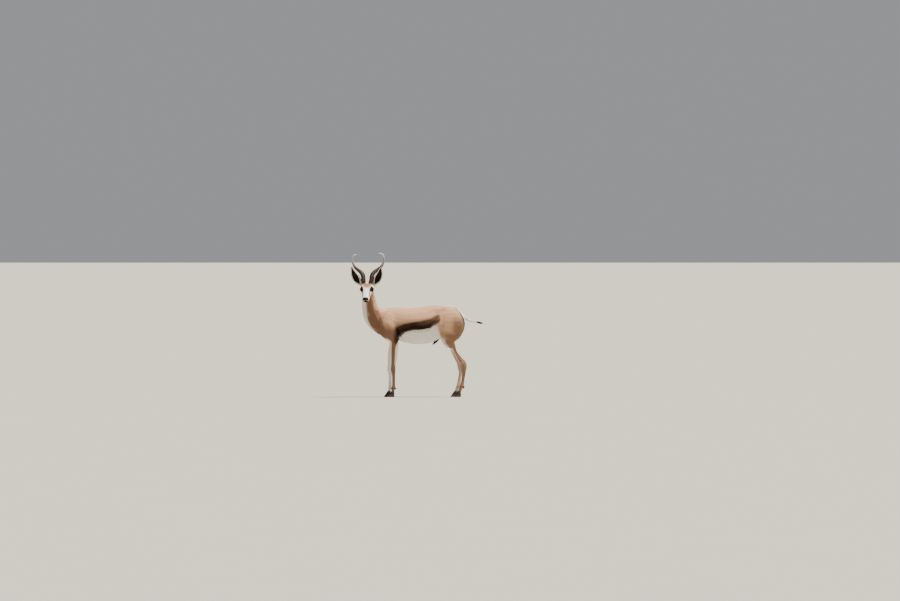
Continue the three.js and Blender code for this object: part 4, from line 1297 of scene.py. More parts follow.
@dataclass
class Unwrap:
    """An unwrap of the skin's own shape, where each tuft finds the place of its root."""

    skin: Object
    faces_kept: int = 9000
    patch: float = 0.003

    def __post_init__(self) -> None:
        """Unwraps a thinned copy of the skin."""
        copy = self.skin.copy()
        copy.data = self.skin.data.copy()
        bpy.context.scene.collection.objects.link(copy)
        thin = copy.modifiers.new("thin", "DECIMATE")
        thin.ratio = self.faces_kept / len(copy.data.polygons)
        applied(copy)
        bpy.context.view_layer.objects.active = copy
        for other in bpy.context.selected_objects:
            other.select_set(False)
        copy.select_set(True)
        bpy.ops.object.mode_set(mode="EDIT")
        bpy.ops.mesh.select_all(action="SELECT")
        bpy.ops.mesh.quads_convert_to_tris()
        bpy.ops.uv.smart_project(angle_limit=math.radians(66), island_margin=0.004)
        bpy.ops.object.mode_set(mode="OBJECT")
        mesh = copy.data
        self.points, self.corners = points_of(mesh), triangles_of(mesh)
        loops = stored(mesh.loop_triangles, "loops", 3, np.int32)
        self.uv = stored(mesh.uv_layers.active.data, "uv", 2)[loops]
        self.tree = BVHTree.FromPolygons(self.points.tolist(), self.corners.tolist())
        bpy.data.objects.remove(copy)

    def places(self, points: Array) -> Array:
        """The place on the unwrap of each point in row metres."""
        found = np.array([self.tree.find_nearest(point)[2] for point in points.tolist()])
        a, b, c = (self.points[self.corners[found, i]] for i in range(3))
        ab, ac, ap = b - a, c - a, points - a
        d00, d01, d11 = (np.sum(p * q, 1) for p, q in ((ab, ab), (ab, ac), (ac, ac)))
        d20, d21 = np.sum(ap * ab, 1), np.sum(ap * ac, 1)
        scale = np.maximum(d00 * d11 - d01**2, 1e-18)
        v = np.clip((d11 * d20 - d01 * d21) / scale, 0, 1)
        w = np.clip((d00 * d21 - d01 * d20) / scale, 0, 1)
        u = np.clip(1 - v - w, 0, 1)
        return np.einsum("ij,ijk->ik", np.stack([u, v, w], 1), self.uv[found])


@dataclass
class HairMaker:
    """Turns hairs into meshes that carry the markings and a map onto the skin's unwrap."""

    frame: AnimalFrame
    unwrap: Unwrap

    def mesh(self, name: str, hairs: Hairs, steps: int, blend: float = 0.7) -> Object:
        """Makes one piece of hair.

        Args:
            name: The piece's name.
            hairs: The tufts.
            steps: How many lengths each tuft is made in.
            blend: How much of the skin's normal the hair is shaded by.

        Returns:
            The piece.
        """
        n, count = len(hairs.roots), 2 * steps + 1
        t = np.linspace(0, 1, steps + 1)
        taper = np.where(t < 0.999, (1 - t**1.8) * 0.55 + 0.45 * np.sin(np.pi * (0.35 + 0.65 * t)), 0)
        along, bend, length, width = (
            values.reshape(n, 1, -1) for values in (hairs.along, hairs.bend, hairs.length, hairs.width)
        )
        t_row = t[None, :, None]
        across = unit(np.cross(hairs.faces, hairs.along))[:, None]
        path = hairs.roots[:, None] + length * (along * t_row + bend * t_row**2)
        half = 0.5 * width * taper[None, :, None] * across
        own = unit(np.cross(unit(along + 2 * bend * t_row), across))
        own *= np.sign(np.sum(own * hairs.faces[:, None], axis=-1, keepdims=True))
        shade = unit(mix(own, hairs.normals[:, None], blend))

        def woven(left: Array, right: Array) -> Array:
            """Rows for the left and right points of each step in turn, then for the tip."""
            pairs = np.stack([left[:, :-1], right[:, :-1]], axis=2).reshape(n, 2 * steps, 3)
            return np.concatenate([pairs, left[:, -1:]], axis=1).reshape(-1, 3)

        starts = range(0, 2 * steps - 2, 2)
        faces = [face for a in starts for face in ((a, a + 3, a + 1), (a, a + 2, a + 3))]
        faces.append((2 * steps - 2, 2 * steps, 2 * steps - 1))
        faces = (np.arange(n)[:, None, None] * count + np.array(faces)).reshape(-1, 3)
        row = self.frame.to_row(woven(path - half, path + half))
        made = mesh_object(name, row, faces, woven(shade, shade))
        reach = np.append(np.repeat(t[:-1], 2), t[-1])
        tone = np.random.default_rng(n).random(n)
        marks = np.repeat(hairs.marks, count, axis=0)
        paint(made, marks=marks, reach=np.tile(reach, n), tone=np.repeat(tone, count))
        self.mapped(made, hairs, reach)
        return made

    def mapped(self, made: Object, hairs: Hairs, reach: Array) -> None:
        """Gives each tuft a patch of the unwrap at its root's place."""
        base = np.clip(self.unwrap.places(self.frame.to_row(hairs.roots)), 0.002, 0.998)
        beside = np.append(np.tile([-0.5, 0.5], len(reach) // 2), 0)
        offset = np.stack([beside, reach - 0.5], 1) * self.unwrap.patch
        at_vertex = (base[:, None] + offset[None]).reshape(-1, 2)
        corner = stored(made.data.loops, "vertex_index", 1, np.int32)[:, 0]
        store(made.data.uv_layers.new(name="OFBake").data, "uv", at_vertex[corner])


@dataclass
class Coat:
    """Short hair all over the skin, in thin overlapping tufts that follow its lie.

    The lengths and widths are those on the trunk, neck, lower legs, feet, back of the head, nose and by the eyes.
    """

    frame: AnimalFrame
    anatomy: Anatomy
    markings: Markings
    maker: HairMaker
    lengths: tuple[float, ...] = (10.5, 9.5, 6.0, 4.6, 6.6, 2.6, 2.6)
    widths: tuple[float, ...] = (1.9, 1.8, 1.4, 1.2, 1.5, 0.8, 0.75)
    cover: float = 2.5
    most: int = 65000
    seed: int = 4

    def from_eye(self, head: Array) -> Array:
        """Points away from the nearer eye's centre, on the left side."""
        return folded(head) - self.frame.eye(Side.LEFT)

    def sizes(self, points: Array) -> tuple[Array, Array]:
        """The length and width of the tufts at each point."""
        head, share = self.frame.to_head(points), self.anatomy.headness(points)
        neck, leg = self.anatomy.neckness(points), self.anatomy.legness(points)
        foot, far = ease(points[:, 2], 150, 90), ease(head[:, 0], 0, 170)
        small = ease(size_of(self.from_eye(head)), 34, 24) * share

        def size(trunk: float, on_neck: float, on_leg: float, on_foot: float, back: float, nose: float,
                 by_eye: float) -> Array:
            """One measure, blended from its value in each place."""
            value = mix(mix(mix(trunk, on_neck, neck), on_leg, leg), on_foot, foot)
            return mix(mix(value, mix(back, nose, far), share), by_eye, small)

        return size(*self.lengths), size(*self.widths)

    def bald(self, points: Array, marks: Array) -> Array:
        """Whether no hair grows: on the nose, in the nostrils, by the lids, under the claws and by the horns."""
        head = self.frame.to_head(points)
        away = self.from_eye(head)
        along, across, out = EyeAxes(Side.LEFT).seen(away)
        lidded = (np.hypot(along / 18.5, across / 12.5) < 1) & (out > 0) & (size_of(away) < 24)
        return (marks[:, 3] > 0.35) | lidded | (points[:, 2] < 47) | self.in_horn(head)

    def in_horn(self, head: Array) -> Array:
        """Whether points lie inside the foot of a horn."""
        away = folded(head) - np.array([-3, 34.5, -2])
        away = away - np.outer(away @ self.frame.rise, self.frame.rise)
        return (size_of(away) < 18.5) & (np.abs(head[:, 0]) < 45)

    def scattered(self, skin: Object) -> Hairs:
        """Roots all over the skin, closer where the tufts are smaller."""
        rng = np.random.default_rng(self.seed)
        points, normals, corners = self.frame.places(skin), normals_of(skin.data), triangles_of(skin.data)
        a, b, c = (points[corners[:, i]] for i in range(3))
        area = 0.5 * size_of(np.cross(b - a, c - a))
        length, width = self.sizes((a + b + c) / 3)
        expected = area * self.cover / (0.62 * length * width)
        face = np.repeat(np.arange(len(corners)), rng.poisson(expected))
        u, v = rng.random(len(face)), rng.random(len(face))
        over = u + v > 1
        u[over], v[over] = 1 - u[over], 1 - v[over]
        weights = np.stack([1 - u - v, u, v], 1)
        roots = np.einsum("ij,ijk->ik", weights, points[corners[face]])
        normal = unit(np.einsum("ij,ijk->ik", weights, normals[corners[face]]))
        flat = unit(np.cross(b - a, c - a))[face]
        jitter = rng.normal(0, 1.6, roots.shape) * self.sizes(roots)[0][:, None] / 12
        marks = self.markings.at(roots + jitter, normal)
        keep = ~self.bald(roots, marks)
        roots, normal, marks, flat = roots[keep], normal[keep], marks[keep], flat[keep]
        length, width = self.sizes(roots)
        lie = self.anatomy.lie(roots, flat)
        side = np.cross(flat, lie)
        stray = rng.normal(0, 0.16, len(roots))[:, None]
        lift = np.clip(rng.normal(0.085, 0.025, len(roots)), 0.03, 0.18)[:, None]
        return Hairs(
            roots=roots - flat * 0.25,
            along=unit(lie + side * stray + flat * lift),
            bend=-flat * (0.45 * lift),
            faces=unit(flat + 0.2 * side * rng.normal(0, 1, len(roots))[:, None]),
            length=length * rng.uniform(0.75, 1.2, len(roots)),
            width=width * rng.uniform(0.8, 1.2, len(roots)),
            marks=marks,
            normals=normal,
        )

    def region(self, points: Array) -> Array:
        """The name of the coat piece that each point belongs to."""
        near = self.anatomy.near(points)
        x, low = near[:, 0], near[:, 2] < 480
        found = np.where(points[:, 1] < 0, Region.FLANK_LEFT.value, Region.FLANK_RIGHT.value)
        for where, region in (
            (x < -185, Region.SHOULDERS),
            (x > 205, Region.THIGHS),
            (self.anatomy.neckness(points) > 0.5, Region.NECK),
            (low & (x < 0), Region.FORELEGS),
            (low & (x > 215), Region.HIND_LEGS),
            (self.anatomy.headness(points) > 0.5, Region.HEAD),
        ):
            found[where] = region.value
        return found

    def build(self, skin: Object, material: Material) -> None:
        """Makes the coat, each region in pieces that the export can carry."""
        hairs = self.scattered(skin)
        found = self.region(hairs.roots)
        for region in Region:
            members = np.nonzero(found == region.value)[0]
            parts = max(1, math.ceil(len(members) / self.most))
            for k in range(parts):
                name = f"coat_{region.value}" + (f"_{k + 1}" if parts > 1 else "")
                made = self.maker.mesh(name, hairs.chosen(members[k::parts]), steps=2)
                dress(made, material, "coat_white" if region is Region.HEAD else "coat_tan")


@dataclass(frozen=True)
class TailHair:
    """Hairs of the tail: where they start and end on it, how they look, and how far they spread and sink."""

    start: float
    end: float
    count: int
    length: float
    width: float
    marks: Colour
    spread: float
    droop: float
    seed: int


@dataclass
class LongHair:
    """The hair of the tail, the croup, the sheath and the ears, and round the feet of the horns."""

    frame: AnimalFrame
    skin: Skin
    maker: HairMaker
    ears: Ears
    horns: Horns
    fringe: TailHair = TailHair(0.08, 0.76, 1800, 30, 2.4, WHITE, 0.16, 0.06, 3)
    tuft: TailHair = TailHair(0.70, 1, 900, 40, 2.6, BLACK, 0.20, 0.10, 6)

    def tail(self, given: TailHair) -> Hairs:
        """Long hairs rooted round the tail and trailing along it."""
        rng = np.random.default_rng(given.seed)
        t = rng.uniform(given.start, given.end, given.count)
        rows = self.skin.tail_place(t)
        along = unit(self.skin.tail_place(t + 0.01)[:, :3] - self.skin.tail_place(t - 0.01)[:, :3])
        angle = rng.uniform(0, 2 * np.pi, given.count)
        across = np.array([0, 1, 0])
        out = across * np.cos(angle)[:, None] + unit(np.cross(along, across)) * np.sin(angle)[:, None]
        return Hairs(
            roots=rows[:, :3] + out * (0.75 * rows[:, 3])[:, None],
            along=unit(along + out * (given.spread * rng.uniform(0.5, 1.2, given.count))[:, None]),
            bend=-0.5 * given.spread * out + np.array([0, 0, -given.droop]),
            faces=out,
            length=given.length * rng.uniform(0.7, 1.1, given.count) * (1 - 0.35 * ease(t, given.start, given.end)),
            width=given.width * rng.uniform(0.7, 1.2, given.count),
            marks=np.tile(given.marks, (given.count, 1)),
            normals=out,
        )

    def on_skin(self, tree: BVHTree, above: Array, ray: Array) -> tuple[Array, Array, Array]:
        """Where rays meet the skin.

        Args:
            tree: The skin's faces, in the animal's millimetres.
            above: Where the rays start.
            ray: Their direction.

        Returns:
            The places, the normals there, and which rays met it.
        """
        found = [tree.ray_cast(Vector(start), Vector(ray)) for start in above]
        met = np.array([hit[0] is not None for hit in found])
        places, normals = (
            np.array([hit[i] if hit[0] is not None else (0, 0, 1) for hit in found], float) for i in (0, 1)
        )
        return places, unit(normals), met

    def crest(self, tree: BVHTree, count: int = 3800) -> Hairs:
        """White hair of the closed fold that runs down the back to the tail."""
        rng = np.random.default_rng(31)
        x = 70 + 330 * rng.random(count) ** 0.75
        half = np.interp(x, [70, 200, 300, 400], [3, 9, 18, 24])
        y = rng.normal(0, 0.5, count) * half
        start = np.stack([x, y, np.full(count, 900)], 1)
        roots, normals, met = self.on_skin(tree, start, np.array([0.0, 0.0, -1.0]))
        lie = np.stack([np.ones(count), 0.004 * y, np.zeros(count)], 1)
        lie = unit(flattened(lie, normals))
        length = np.interp(x, [70, 180, 300, 400], [16, 30, 42, 46]) * rng.uniform(0.75, 1.1, count)
        lift = np.interp(x, [70, 200, 300, 400], [0.06, 0.10, 0.20, 0.26]) * rng.uniform(0.5, 1.2, count)
        side = np.cross(normals, lie)
        hairs = Hairs(
            roots=roots - normals * 0.5,
            along=unit(lie + normals * lift[:, None] + side * rng.normal(0, 0.06, count)[:, None]),
            bend=-normals * (lift + 0.04)[:, None],
            faces=unit(normals + 0.35 * side * rng.normal(0, 1, count)[:, None]),
            length=length,
            width=rng.uniform(2, 3.4, count),
            marks=np.tile(WHITE, (count, 1)),
            normals=normals,
        )
        return hairs.chosen(met)

    def sheath(self, tree: BVHTree, count: int = 560) -> Hairs:
        """The dark tuft at the end of the sheath."""
        rng = np.random.default_rng(8)
        x, y = rng.normal(171, 10, count), rng.normal(0, 6, count)
        start = np.stack([x, y, np.full(count, 380)], 1)
        roots, normals, met = self.on_skin(tree, start, np.array([0.0, 0.0, 1.0]))
        heading = np.stack([np.full(count, -0.8), -0.01 * y, -np.ones(count)], 1) + rng.normal(0, 0.06, (count, 3))
        hairs = Hairs(
            roots=roots - normals * 0.8,
            along=unit(heading),
            bend=np.tile([0, 0, -0.1], (count, 1)),
            faces=unit(normals + rng.normal(0, 0.3, (count, 3))),
            length=rng.uniform(28, 48, count),
            width=rng.uniform(1.6, 2.8, count),
            marks=np.tile(BLACK, (count, 1)),
            normals=normals,
        )
        return hairs.chosen(met & (roots[:, 2] < 560))

    def horn_collar(self, side: Side, tree: BVHTree, count: int = 1000) -> Hairs:
        """Short hair that stands up round the foot of a horn, where it leaves the skin."""
        rng = np.random.default_rng(60 + side.value)
        rings = self.horns.feet[side]
        rows, arc = rings.shape[:2]
        flat = self.frame.from_head(rings.reshape(-1, 3))
        found = [(Vector(point), tree.find_nearest(Vector(point))) for point in flat]
        height = np.array([(point - hit[0]).dot(hit[1]) for point, hit in found])
        first = np.argmax(height.reshape(rows, arc) > 0.2, axis=0)
        rings = flat.reshape(rows, arc, 3)
        k = rng.integers(0, arc, count)
        i = np.clip(first[k], 1, rows - 2)
        place = mix(rings[i, k], rings[i, (k + 1) % arc], rng.random(count)[:, None])
        up = unit(rings[i + 1, k] - rings[i - 1, k])
        out = unit(place - rings[i].mean(axis=1))
        return Hairs(
            roots=place - up * 3 + out * rng.uniform(0.2, 2.2, count)[:, None],
            along=unit(up + out * rng.uniform(0.1, 0.35, count)[:, None] + rng.normal(0, 0.08, (count, 3))),
            bend=-0.1 * out,
            faces=out,
            length=rng.uniform(7, 13, count),
            width=rng.uniform(1.4, 2.2, count),
            marks=self.skin.markings.at(place, out),
            normals=out,
        )

    def ear_hair(self, side: Side) -> Hairs:
        """White hair along both rims of an ear and across its opening, and short hair on its back."""
        rng = np.random.default_rng(40 + side.value)
        inner, outer, t, u = self.ears.grids[side]
        rows, arc = len(t), len(u)

        def taken(i: Array, k: Array, face: Array) -> tuple[Array, Array, Array]:
            """Places on one face of the ear, with the ways up it and across it."""
            up = unit(face[np.minimum(i + 1, rows - 1), k] - face[np.maximum(i - 1, 0), k])
            across = unit(face[i, np.minimum(k + 1, arc - 1)] - face[i, np.maximum(k - 1, 0)])
            return face[i, k], up, across

        sets = []
        count = 2200
        i = rng.integers(3, rows - 3, count)
        low = (rng.random(count) < 0.6) == (side is Side.LEFT)
        k = np.where(low, rng.integers(0, 5, count), rng.integers(arc - 5, arc, count))
        place, up, across = taken(i, k, inner)
        facing = unit(inner[i, 0] + inner[i, arc - 1] - 2 * inner[i, arc // 2])
        chord = unit(inner[i, arc - 1 - k] - inner[i, k])
        heading = unit(up * 0.95 + chord * rng.uniform(0.3, 0.8, count)[:, None] + facing * 0.18)
        tip = ease(t[i], 1, 0.75)
        sets.append((place, heading, facing, mix(5, 14, tip) * rng.uniform(0.7, 1.1, count),
                     rng.uniform(0.8, 1.5, count), np.tile(WHITE, (count, 1))))
        count = 5200
        i = rng.integers(1, rows - 1, count)
        k = rng.integers(0, arc, count)
        place, up, across = taken(i, k, outer)
        normal = unit(np.cross(up, across))
        normal *= np.sign(np.sum(normal * (outer[i, k] - inner[i, k]), 1, keepdims=True))
        heading = unit(up + normal * 0.10 + across * rng.normal(0, 0.15, count)[:, None])
        marks = self.ears.marks(t[i], np.zeros(count), np.abs(u[k]), u[k] * side.value)
        sets.append((place - normal * 0.2, heading, normal, rng.uniform(3.4, 5.6, count) * mix(1, 0.6, t[i]),
                     rng.uniform(0.9, 1.4, count), marks))
        place, heading, normal, length, width, marks = (np.concatenate(part) for part in zip(*sets))
        turn = self.frame.head_direction
        return Hairs(
            roots=self.frame.from_head(place),
            along=turn(heading),
            bend=turn(-0.06 * normal),
            faces=turn(normal),
            length=length,
            width=width,
            marks=marks,
            normals=turn(normal),
        )

    def build(self, skin: Object, material: Material) -> None:
        """Makes all the long hair."""
        tree = BVHTree.FromPolygons(self.frame.places(skin).tolist(), triangles_of(skin.data).tolist())
        make = self.maker.mesh
        dress(make("tail_fringe", self.tail(self.fringe), 4), material, "coat_white")
        dress(make("tail_black_tuft", self.tail(self.tuft), 5), material, "hair_black", "tail_tuft")
        dress(make("croup_crest", self.crest(tree), 4), material, "coat_white")
        dress(make("sheath_tuft", self.sheath(tree), 3), material, "hair_black")
        for side in Side:
            dress(make(f"ear_hair_{side.word}", self.ear_hair(side), 3), material, "ear")
            dress(make(f"horn_collar_{side.word}", self.horn_collar(side, tree), 3), material, "coat_tan")


class Nodes:
    """Builds a node tree a step at a time."""

    def __init__(self, tree: NodeTree) -> None:
        """Starts on an empty tree."""
        self.tree = tree
        self.tree.nodes.clear()

    def add(self, kind: str, inputs: dict[str | int, object] | None = None, **settings: object) -> bpy.types.Node:
        """Adds a node.

        Args:
            kind: The node's type.
            inputs: A value, or another node's output, for each input by name or place.
            **settings: The node's own settings.

        Returns:
            The node.
        """
        node = self.tree.nodes.new(kind)
        for key, value in settings.items():
            setattr(node, key, value)
        for key, value in (inputs or {}).items():
            if isinstance(value, Socket):
                self.tree.links.new(value, node.inputs[key])
            else:
                node.inputs[key].default_value = value
        return node

    def maths(self, operation: str, *values: object) -> Socket:
        """The result of a sum on numbers or outputs."""
        return self.add("ShaderNodeMath", dict(enumerate(values)), operation=operation).outputs[0]

    def blended(self, share: object, first: object, second: object) -> Socket:
        """A colour between two others."""
        return self.add("ShaderNodeMix", {0: share, 6: first, 7: second}, data_type="RGBA").outputs[2]

    def ranged(self, value: object, low: float, high: float, start: float = 0, end: float = 1) -> Socket:
        """A number carried from the range start to end over to the range low to high."""
        values = {"Value": value, "From Min": start, "From Max": end, "To Min": low, "To Max": high}
        return self.add("ShaderNodeMapRange", values).outputs[0]

    def attribute(self, name: str, output: str = "Fac") -> Socket:
        """A number or colour stored on the mesh."""
        return self.add("ShaderNodeAttribute", attribute_name=name).outputs[output]

    def place(self) -> Socket:
        """The place in the object's own space."""
        return self.add("ShaderNodeTexCoord").outputs["Object"]

    def noise(self, place: Socket, scale: object, detail: float) -> Socket:
        """Noise at each place."""
        return self.add("ShaderNodeTexNoise", {"Vector": place, "Scale": scale, "Detail": detail}).outputs["Fac"]

    def bumped(self, height: Socket, strength: float, distance: float) -> Socket:
        """Normals that a height bends."""
        return self.add("ShaderNodeBump", {"Height": height, "Strength": strength, "Distance": distance}).outputs[0]

    def group(self, tree: NodeTree, **inputs: object) -> Sequence[Socket]:
        """Places a group, sets its inputs and gives its outputs."""
        return self.add("ShaderNodeGroup", inputs, node_tree=tree).outputs


def colour(*screen: float) -> Colour:
    """A linear colour from the shares of red, green and blue as a screen shows them, out of 255."""
    shares = [value / 255 for value in screen]
    return (*(share / 12.92 if share <= 0.04045 else ((share + 0.055) / 1.055) ** 2.4 for share in shares), 1)


@dataclass(frozen=True)
class Pelt:
    """The colours of the hair and the naked skin."""

    tan: Colour = colour(207, 165, 130)
    white: Colour = colour(240, 235, 228)
    dark: Colour = colour(34, 17, 12)
    russet: Colour = colour(112, 80, 60)
    bare: Colour = colour(29, 23, 21)


class Effects:
    """The node groups that several finishes share."""

    def __init__(self, pelt: Pelt) -> None:
        """Makes the groups."""
        self.pelt = pelt
        self.markings = self.make_markings()
        self.mottle = self.make_mottle()

    def group(self, name: str, inputs: dict[str, object], *outputs: str) -> tuple[Nodes, object]:
        """A new group with named inputs and outputs.

        Args:
            name: The group's name.
            inputs: The first value of each input, four numbers for a colour.
            *outputs: The outputs' names, of which Color is a colour.

        Returns:
            The group's nodes, and what is given to the group.
        """
        make = Nodes(bpy.data.node_groups.new(name, "ShaderNodeTree"))
        new = make.tree.interface.new_socket
        for label, value in inputs.items():
            kind = "NodeSocketColor" if isinstance(value, tuple) else "NodeSocketFloat"
            new(label, in_out="INPUT", socket_type=kind).default_value = value
        for label in outputs:
            new(label, in_out="OUTPUT", socket_type="NodeSocketColor" if label == "Color" else "NodeSocketFloat")
        return make, make.add("NodeGroupInput").outputs

    def make_markings(self) -> NodeTree:
        """Colours of the pattern, from the four shares stored on the mesh."""
        named = {label: getattr(self.pelt, label.lower()) for label in ("Tan", "White", "Dark", "Russet", "Bare")}
        make, given = self.group("pelt_markings", {"Marks": (0, 0, 0, 1)} | named, "Color", "Naked")
        parts = make.add("ShaderNodeSeparateColor", {"Color": given["Marks"]}).outputs
        naked = make.attribute("marks", "Alpha")
        base = given["Tan"]
        for share, label in (("Blue", "Russet"), ("Red", "White"), ("Green", "Dark")):
            base = make.blended(parts[share], base, given[label])
        make.add("NodeGroupOutput", {"Color": make.blended(naked, base, given["Bare"]), "Naked": naked})
        return make.tree

    def make_mottle(self) -> NodeTree:
        """Uneven lightness in broad soft patches and in fine streaks."""
        inputs = {"Color": (1, 1, 1, 1), "Broad": 0.1, "Fine": 0.1, "Size": 18}
        make, given = self.group("uneven_tone", inputs, "Color")
        place = make.place()
        broad = make.noise(place, given["Size"], 3)
        fine = make.noise(place, make.maths("MULTIPLY", given["Size"], 24), 2)
        broad = make.maths("MULTIPLY", make.maths("SUBTRACT", broad, 0.5), given["Broad"])
        fine = make.maths("MULTIPLY", make.maths("SUBTRACT", fine, 0.5), given["Fine"])
        value = make.maths("ADD", 1, make.maths("MULTIPLY", 2, make.maths("ADD", broad, fine)))
        toned = make.add("ShaderNodeHueSaturation", {"Color": given["Color"], "Value": value}).outputs[0]
        make.add("NodeGroupOutput", {"Color": toned})
        return make.tree


@dataclass(frozen=True)
class Finish:
    """What every finish has: its name and the values of its plain sockets."""

    name: str
    roughness: float = 0.7
    specular: float = 0.3
    sheen: float = 0.0

    def surface(self, make: Nodes, effects: Effects) -> dict[str, Socket]:
        """What varies over the surface, by the shader's socket."""
        raise NotImplementedError

    def material(self, effects: Effects) -> Material:
        """Builds the material."""
        material = bpy.data.materials.new(self.name)
        material.use_nodes = True
        make = Nodes(material.node_tree)
        plain = {"Roughness": self.roughness, "Specular IOR Level": self.specular, "Sheen Weight": self.sheen}
        shader = make.add("ShaderNodeBsdfPrincipled", plain)
        make.add("ShaderNodeOutputMaterial", {"Surface": shader.outputs[0]})
        for label, socket in self.surface(make, effects).items():
            make.tree.links.new(socket, shader.inputs[label])
        return material


@dataclass(frozen=True)
class SkinFinish(Finish):
    """Short hair close to the skin, and the damp naked skin of the nose."""

    naked_roughness: float = 0.42
    depth: float = 0.0008

    def surface(self, make: Nodes, effects: Effects) -> dict[str, Socket]:
        """The pattern of the coat, with a fine grain."""
        pattern = make.group(effects.markings, Marks=make.attribute("marks", "Color"))
        toned = make.group(effects.mottle, Color=pattern["Color"], Broad=0.05, Fine=0.10)[0]
        rough = make.ranged(pattern["Naked"], self.roughness, self.naked_roughness)
        place = make.place()
        height = make.maths("ADD", make.noise(place, 420, 4), make.maths("MULTIPLY", make.noise(place, 84, 2), 0.8))
        return {"Base Color": toned, "Roughness": rough, "Normal": make.bumped(height, 0.6, self.depth)}


@dataclass(frozen=True)
class HairFinish(Finish):
    """Hair: each tuft a little lighter or darker than its neighbours, and darker at the root."""

    root_shade: float = 0.88
    tip_shade: float = 1.08
    spread: float = 0.11

    def surface(self, make: Nodes, effects: Effects) -> dict[str, Socket]:
        """The pattern of the coat, toned by the tuft and along it."""
        pattern = make.group(effects.markings, Marks=make.attribute("marks", "Color"))
        toned = make.group(effects.mottle, Color=pattern["Color"], Broad=0.05, Fine=0.03)[0]
        tone = make.maths("MULTIPLY", make.maths("SUBTRACT", make.attribute("tone"), 0.5), 2 * self.spread)
        reach = make.ranged(make.attribute("reach"), self.root_shade, self.tip_shade)
        value = make.maths("ADD", reach, tone)
        return {"Base Color": make.add("ShaderNodeHueSaturation", {"Color": toned, "Value": value}).outputs[0]}


@dataclass(frozen=True)
class HornFinish(Finish):
    """Dark ringed horn, with a painted pale reflection towards the tips, and darker between the rings."""

    base: Colour = colour(50, 38, 32)
    worn: Colour = colour(236, 230, 222)
    dirt: Colour = colour(30, 23, 19)
    worn_from: float = 0.5
    worn_to: float = 0.85

    def surface(self, make: Nodes, effects: Effects) -> dict[str, Socket]:
        """The colour by the place along the horn, with streaks along it."""
        stretched = make.add("ShaderNodeMapping", {"Vector": make.place(), "Scale": (1, 1, 0.12)}).outputs[0]
        streak = make.noise(stretched, 260, 4)
        # Paler towards the tips: a painted reflection.
        tip = make.ranged(make.attribute("reach"), 0, 0.92, self.worn_from, self.worn_to)
        tinted = make.blended(tip, self.base, self.worn)
        # Darker where the surface sinks between the rings.
        tinted = make.blended(make.maths("MULTIPLY", make.attribute("groove"), 0.75), tinted, self.dirt)
        toned = make.group(effects.mottle, Color=tinted, Broad=0.16, Fine=0.2, Size=30)[0]
        rough, bump = make.ranged(streak, 0.46, 0.7), make.bumped(streak, 0.7, 0.0007)
        return {"Base Color": toned, "Roughness": rough, "Normal": bump}


@dataclass(frozen=True)
class HoofFinish(Finish):
    """Dark hoof with growth lines round it, dusty at the sole."""

    base: Colour = colour(46, 40, 36)
    dust: Colour = colour(140, 118, 98)
    dust_top: float = 0.026

    def surface(self, make: Nodes, effects: Effects) -> dict[str, Socket]:
        """The colour by height, with lines round the hoof."""
        place = make.place()
        height = make.add("ShaderNodeSeparateXYZ", {"Vector": place}).outputs["Z"]
        given = {"Vector": place, "Scale": 70, "Distortion": 2.2, "Detail": 2}
        lines = make.add("ShaderNodeTexWave", given, bands_direction="Z").outputs["Fac"]
        low = make.ranged(height, 0, 0.7, self.dust_top, 0)
        tinted = make.blended(make.maths("MULTIPLY", low, make.noise(place, 90, 4)), self.base, self.dust)
        toned = make.group(effects.mottle, Color=tinted, Broad=0.18, Fine=0.15, Size=60)[0]
        return {"Base Color": toned, "Normal": make.bumped(lines, 0.5, 0.0005)}


@dataclass(frozen=True)
class EyeFinish(Finish):
    """A dark brown eye with a wide pupil, wet all over."""

    iris: Colour = colour(44, 25, 14)
    rim: Colour = colour(20, 13, 9)
    pupil: Colour = colour(7, 7, 9)

    def surface(self, make: Nodes, effects: Effects) -> dict[str, Socket]:
        """The colours of the iris and the pupil, by their places stored on the mesh."""
        ring = make.blended(make.noise(make.place(), 700, 3), self.iris, self.rim)
        tinted = make.blended(make.attribute("iris"), self.rim, ring)
        tinted = make.blended(make.attribute("pupil"), tinted, self.pupil)
        return {"Base Color": make.group(effects.mottle, Color=tinted, Broad=0.05, Fine=0.1, Size=90)[0]}


@dataclass(frozen=True)
class FloorFinish(Finish):
    """A plain pale floor."""

    tint: Colour = colour(176, 170, 158)

    def surface(self, make: Nodes, effects: Effects) -> dict[str, Socket]:
        """One colour, very nearly even."""
        return {"Base Color": make.group(effects.mottle, Color=self.tint, Broad=0.02, Fine=0.01, Size=2)[0]}


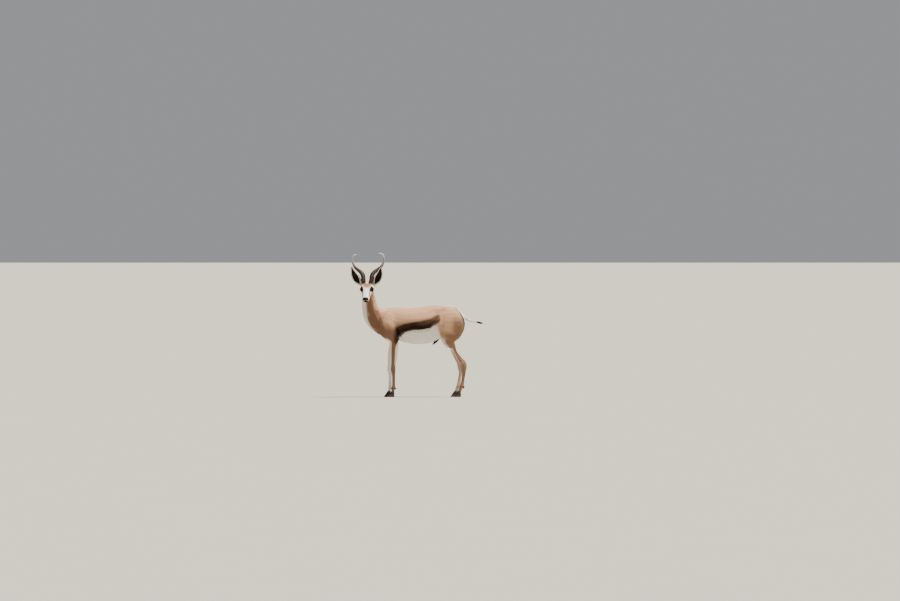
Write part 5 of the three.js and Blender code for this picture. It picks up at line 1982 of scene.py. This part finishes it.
@dataclass
class Studio:
    """The floor, the soft light and the camera."""

    frame: AnimalFrame
    aim: Place = (0.282, 0.0, 0.850)
    camera_height: float = 1.19
    distance: float = 70.0
    azimuth: float = -4.0
    metres_per_pixel: float = 0.00881
    picture_width: int = 900
    sensor_width: float = 36.0
    floor_sizes: tuple[float, ...] = (4.0, 40.0, 400.0, 12000.0)
    world_tint: Colour = (0.93, 0.95, 1.0, 1.0)
    world_strength: float = 0.34
    sun_from: Place = (0.34, -0.08, 1.0)
    sun_tint: Place = (1.0, 0.955, 0.89)
    sun_strength: float = 9.6
    sun_angle: float = 14.0

    def floor(self, material: Material) -> None:
        """A wide flat floor, level with the soles."""
        square = np.array([(-1, -1, 0), (1, -1, 0), (1, 1, 0), (-1, 1, 0)])
        corners = np.vstack([square * size for size in self.floor_sizes])
        faces = [(0, 1, 2, 3)]
        for inner in range(0, 4 * len(self.floor_sizes) - 4, 4):
            outer = inner + 4
            faces += [(inner + k, outer + k, outer + (k + 1) % 4, inner + (k + 1) % 4) for k in range(4)]
        made = mesh_object("floor", corners, np.array(faces))
        made.data.materials.append(material)

    def lights(self) -> None:
        """A high soft light and an even pale surround."""
        world = bpy.data.worlds.new("studio")
        world.use_nodes = True
        make = Nodes(world.node_tree)
        glow = make.add("ShaderNodeBackground", {"Color": self.world_tint, "Strength": self.world_strength})
        make.add("ShaderNodeOutputWorld", {"Surface": glow.outputs[0]})
        bpy.context.scene.world = world
        sun = bpy.data.lights.new("high_light", "SUN")
        sun.energy, sun.angle, sun.color = self.sun_strength, math.radians(self.sun_angle), self.sun_tint
        made = bpy.data.objects.new("high_light", sun)
        bpy.context.scene.collection.objects.link(made)
        made.rotation_euler = Vector(self.sun_from).to_track_quat("Z", "Y").to_euler()

    def camera(self) -> None:
        """A long lens at the photograph's height, far off."""
        lens = bpy.data.cameras.new("camera")
        turn = math.radians(self.azimuth)
        aim = Vector(self.aim) + Vector(self.frame.shift * MM)
        place = aim + self.distance * Vector((math.sin(turn), -math.cos(turn), 0))
        place.z = self.camera_height
        lens.sensor_width = self.sensor_width
        lens.lens = self.sensor_width * (place - aim).length / (self.metres_per_pixel * self.picture_width)
        lens.clip_end = 2.5 * self.floor_sizes[-1]
        made = bpy.data.objects.new("camera", lens)
        made.location = place
        made.rotation_euler = (place - aim).to_track_quat("Z", "Y").to_euler()
        bpy.context.scene.collection.objects.link(made)
        bpy.context.scene.camera = made


def main() -> None:
    """Builds the animal piece by piece, then the studio round it."""
    logging.basicConfig(level=logging.INFO, format="%(name)s %(message)s", stream=sys.stdout)
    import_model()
    frame = AnimalFrame()
    anatomy = Anatomy(frame)
    markings = Markings(anatomy)
    effects = Effects(Pelt())
    hide = SkinFinish("hide", roughness=0.85, specular=0.14).material(effects)
    hair = HairFinish("hair", roughness=0.84, specular=0.14, sheen=0.04).material(effects)

    skin_maker = Skin(frame, anatomy, markings)
    skin = skin_maker.build(hide)
    Lids(frame).build(hide)
    Eyes(frame).build(EyeFinish("eye", roughness=0.15, specular=0.07).material(effects))
    horns = Horns(frame)
    horns.build(HornFinish("horn", roughness=0.5, specular=0.28).material(effects))
    ears = Ears(frame)
    ears.build(hide)
    Hooves(frame, anatomy).build(HoofFinish("hoof", roughness=0.45, specular=0.4).material(effects))

    maker = HairMaker(frame, Unwrap(skin))
    Coat(frame, anatomy, markings, maker).build(skin, hair)
    LongHair(frame, skin_maker, maker, ears, horns).build(skin, hair)

    studio = Studio(frame)
    studio.floor(FloorFinish("floor", roughness=0.9, specular=0.1).material(effects))
    studio.lights()
    studio.camera()


if __name__ == "__main__":
    main()
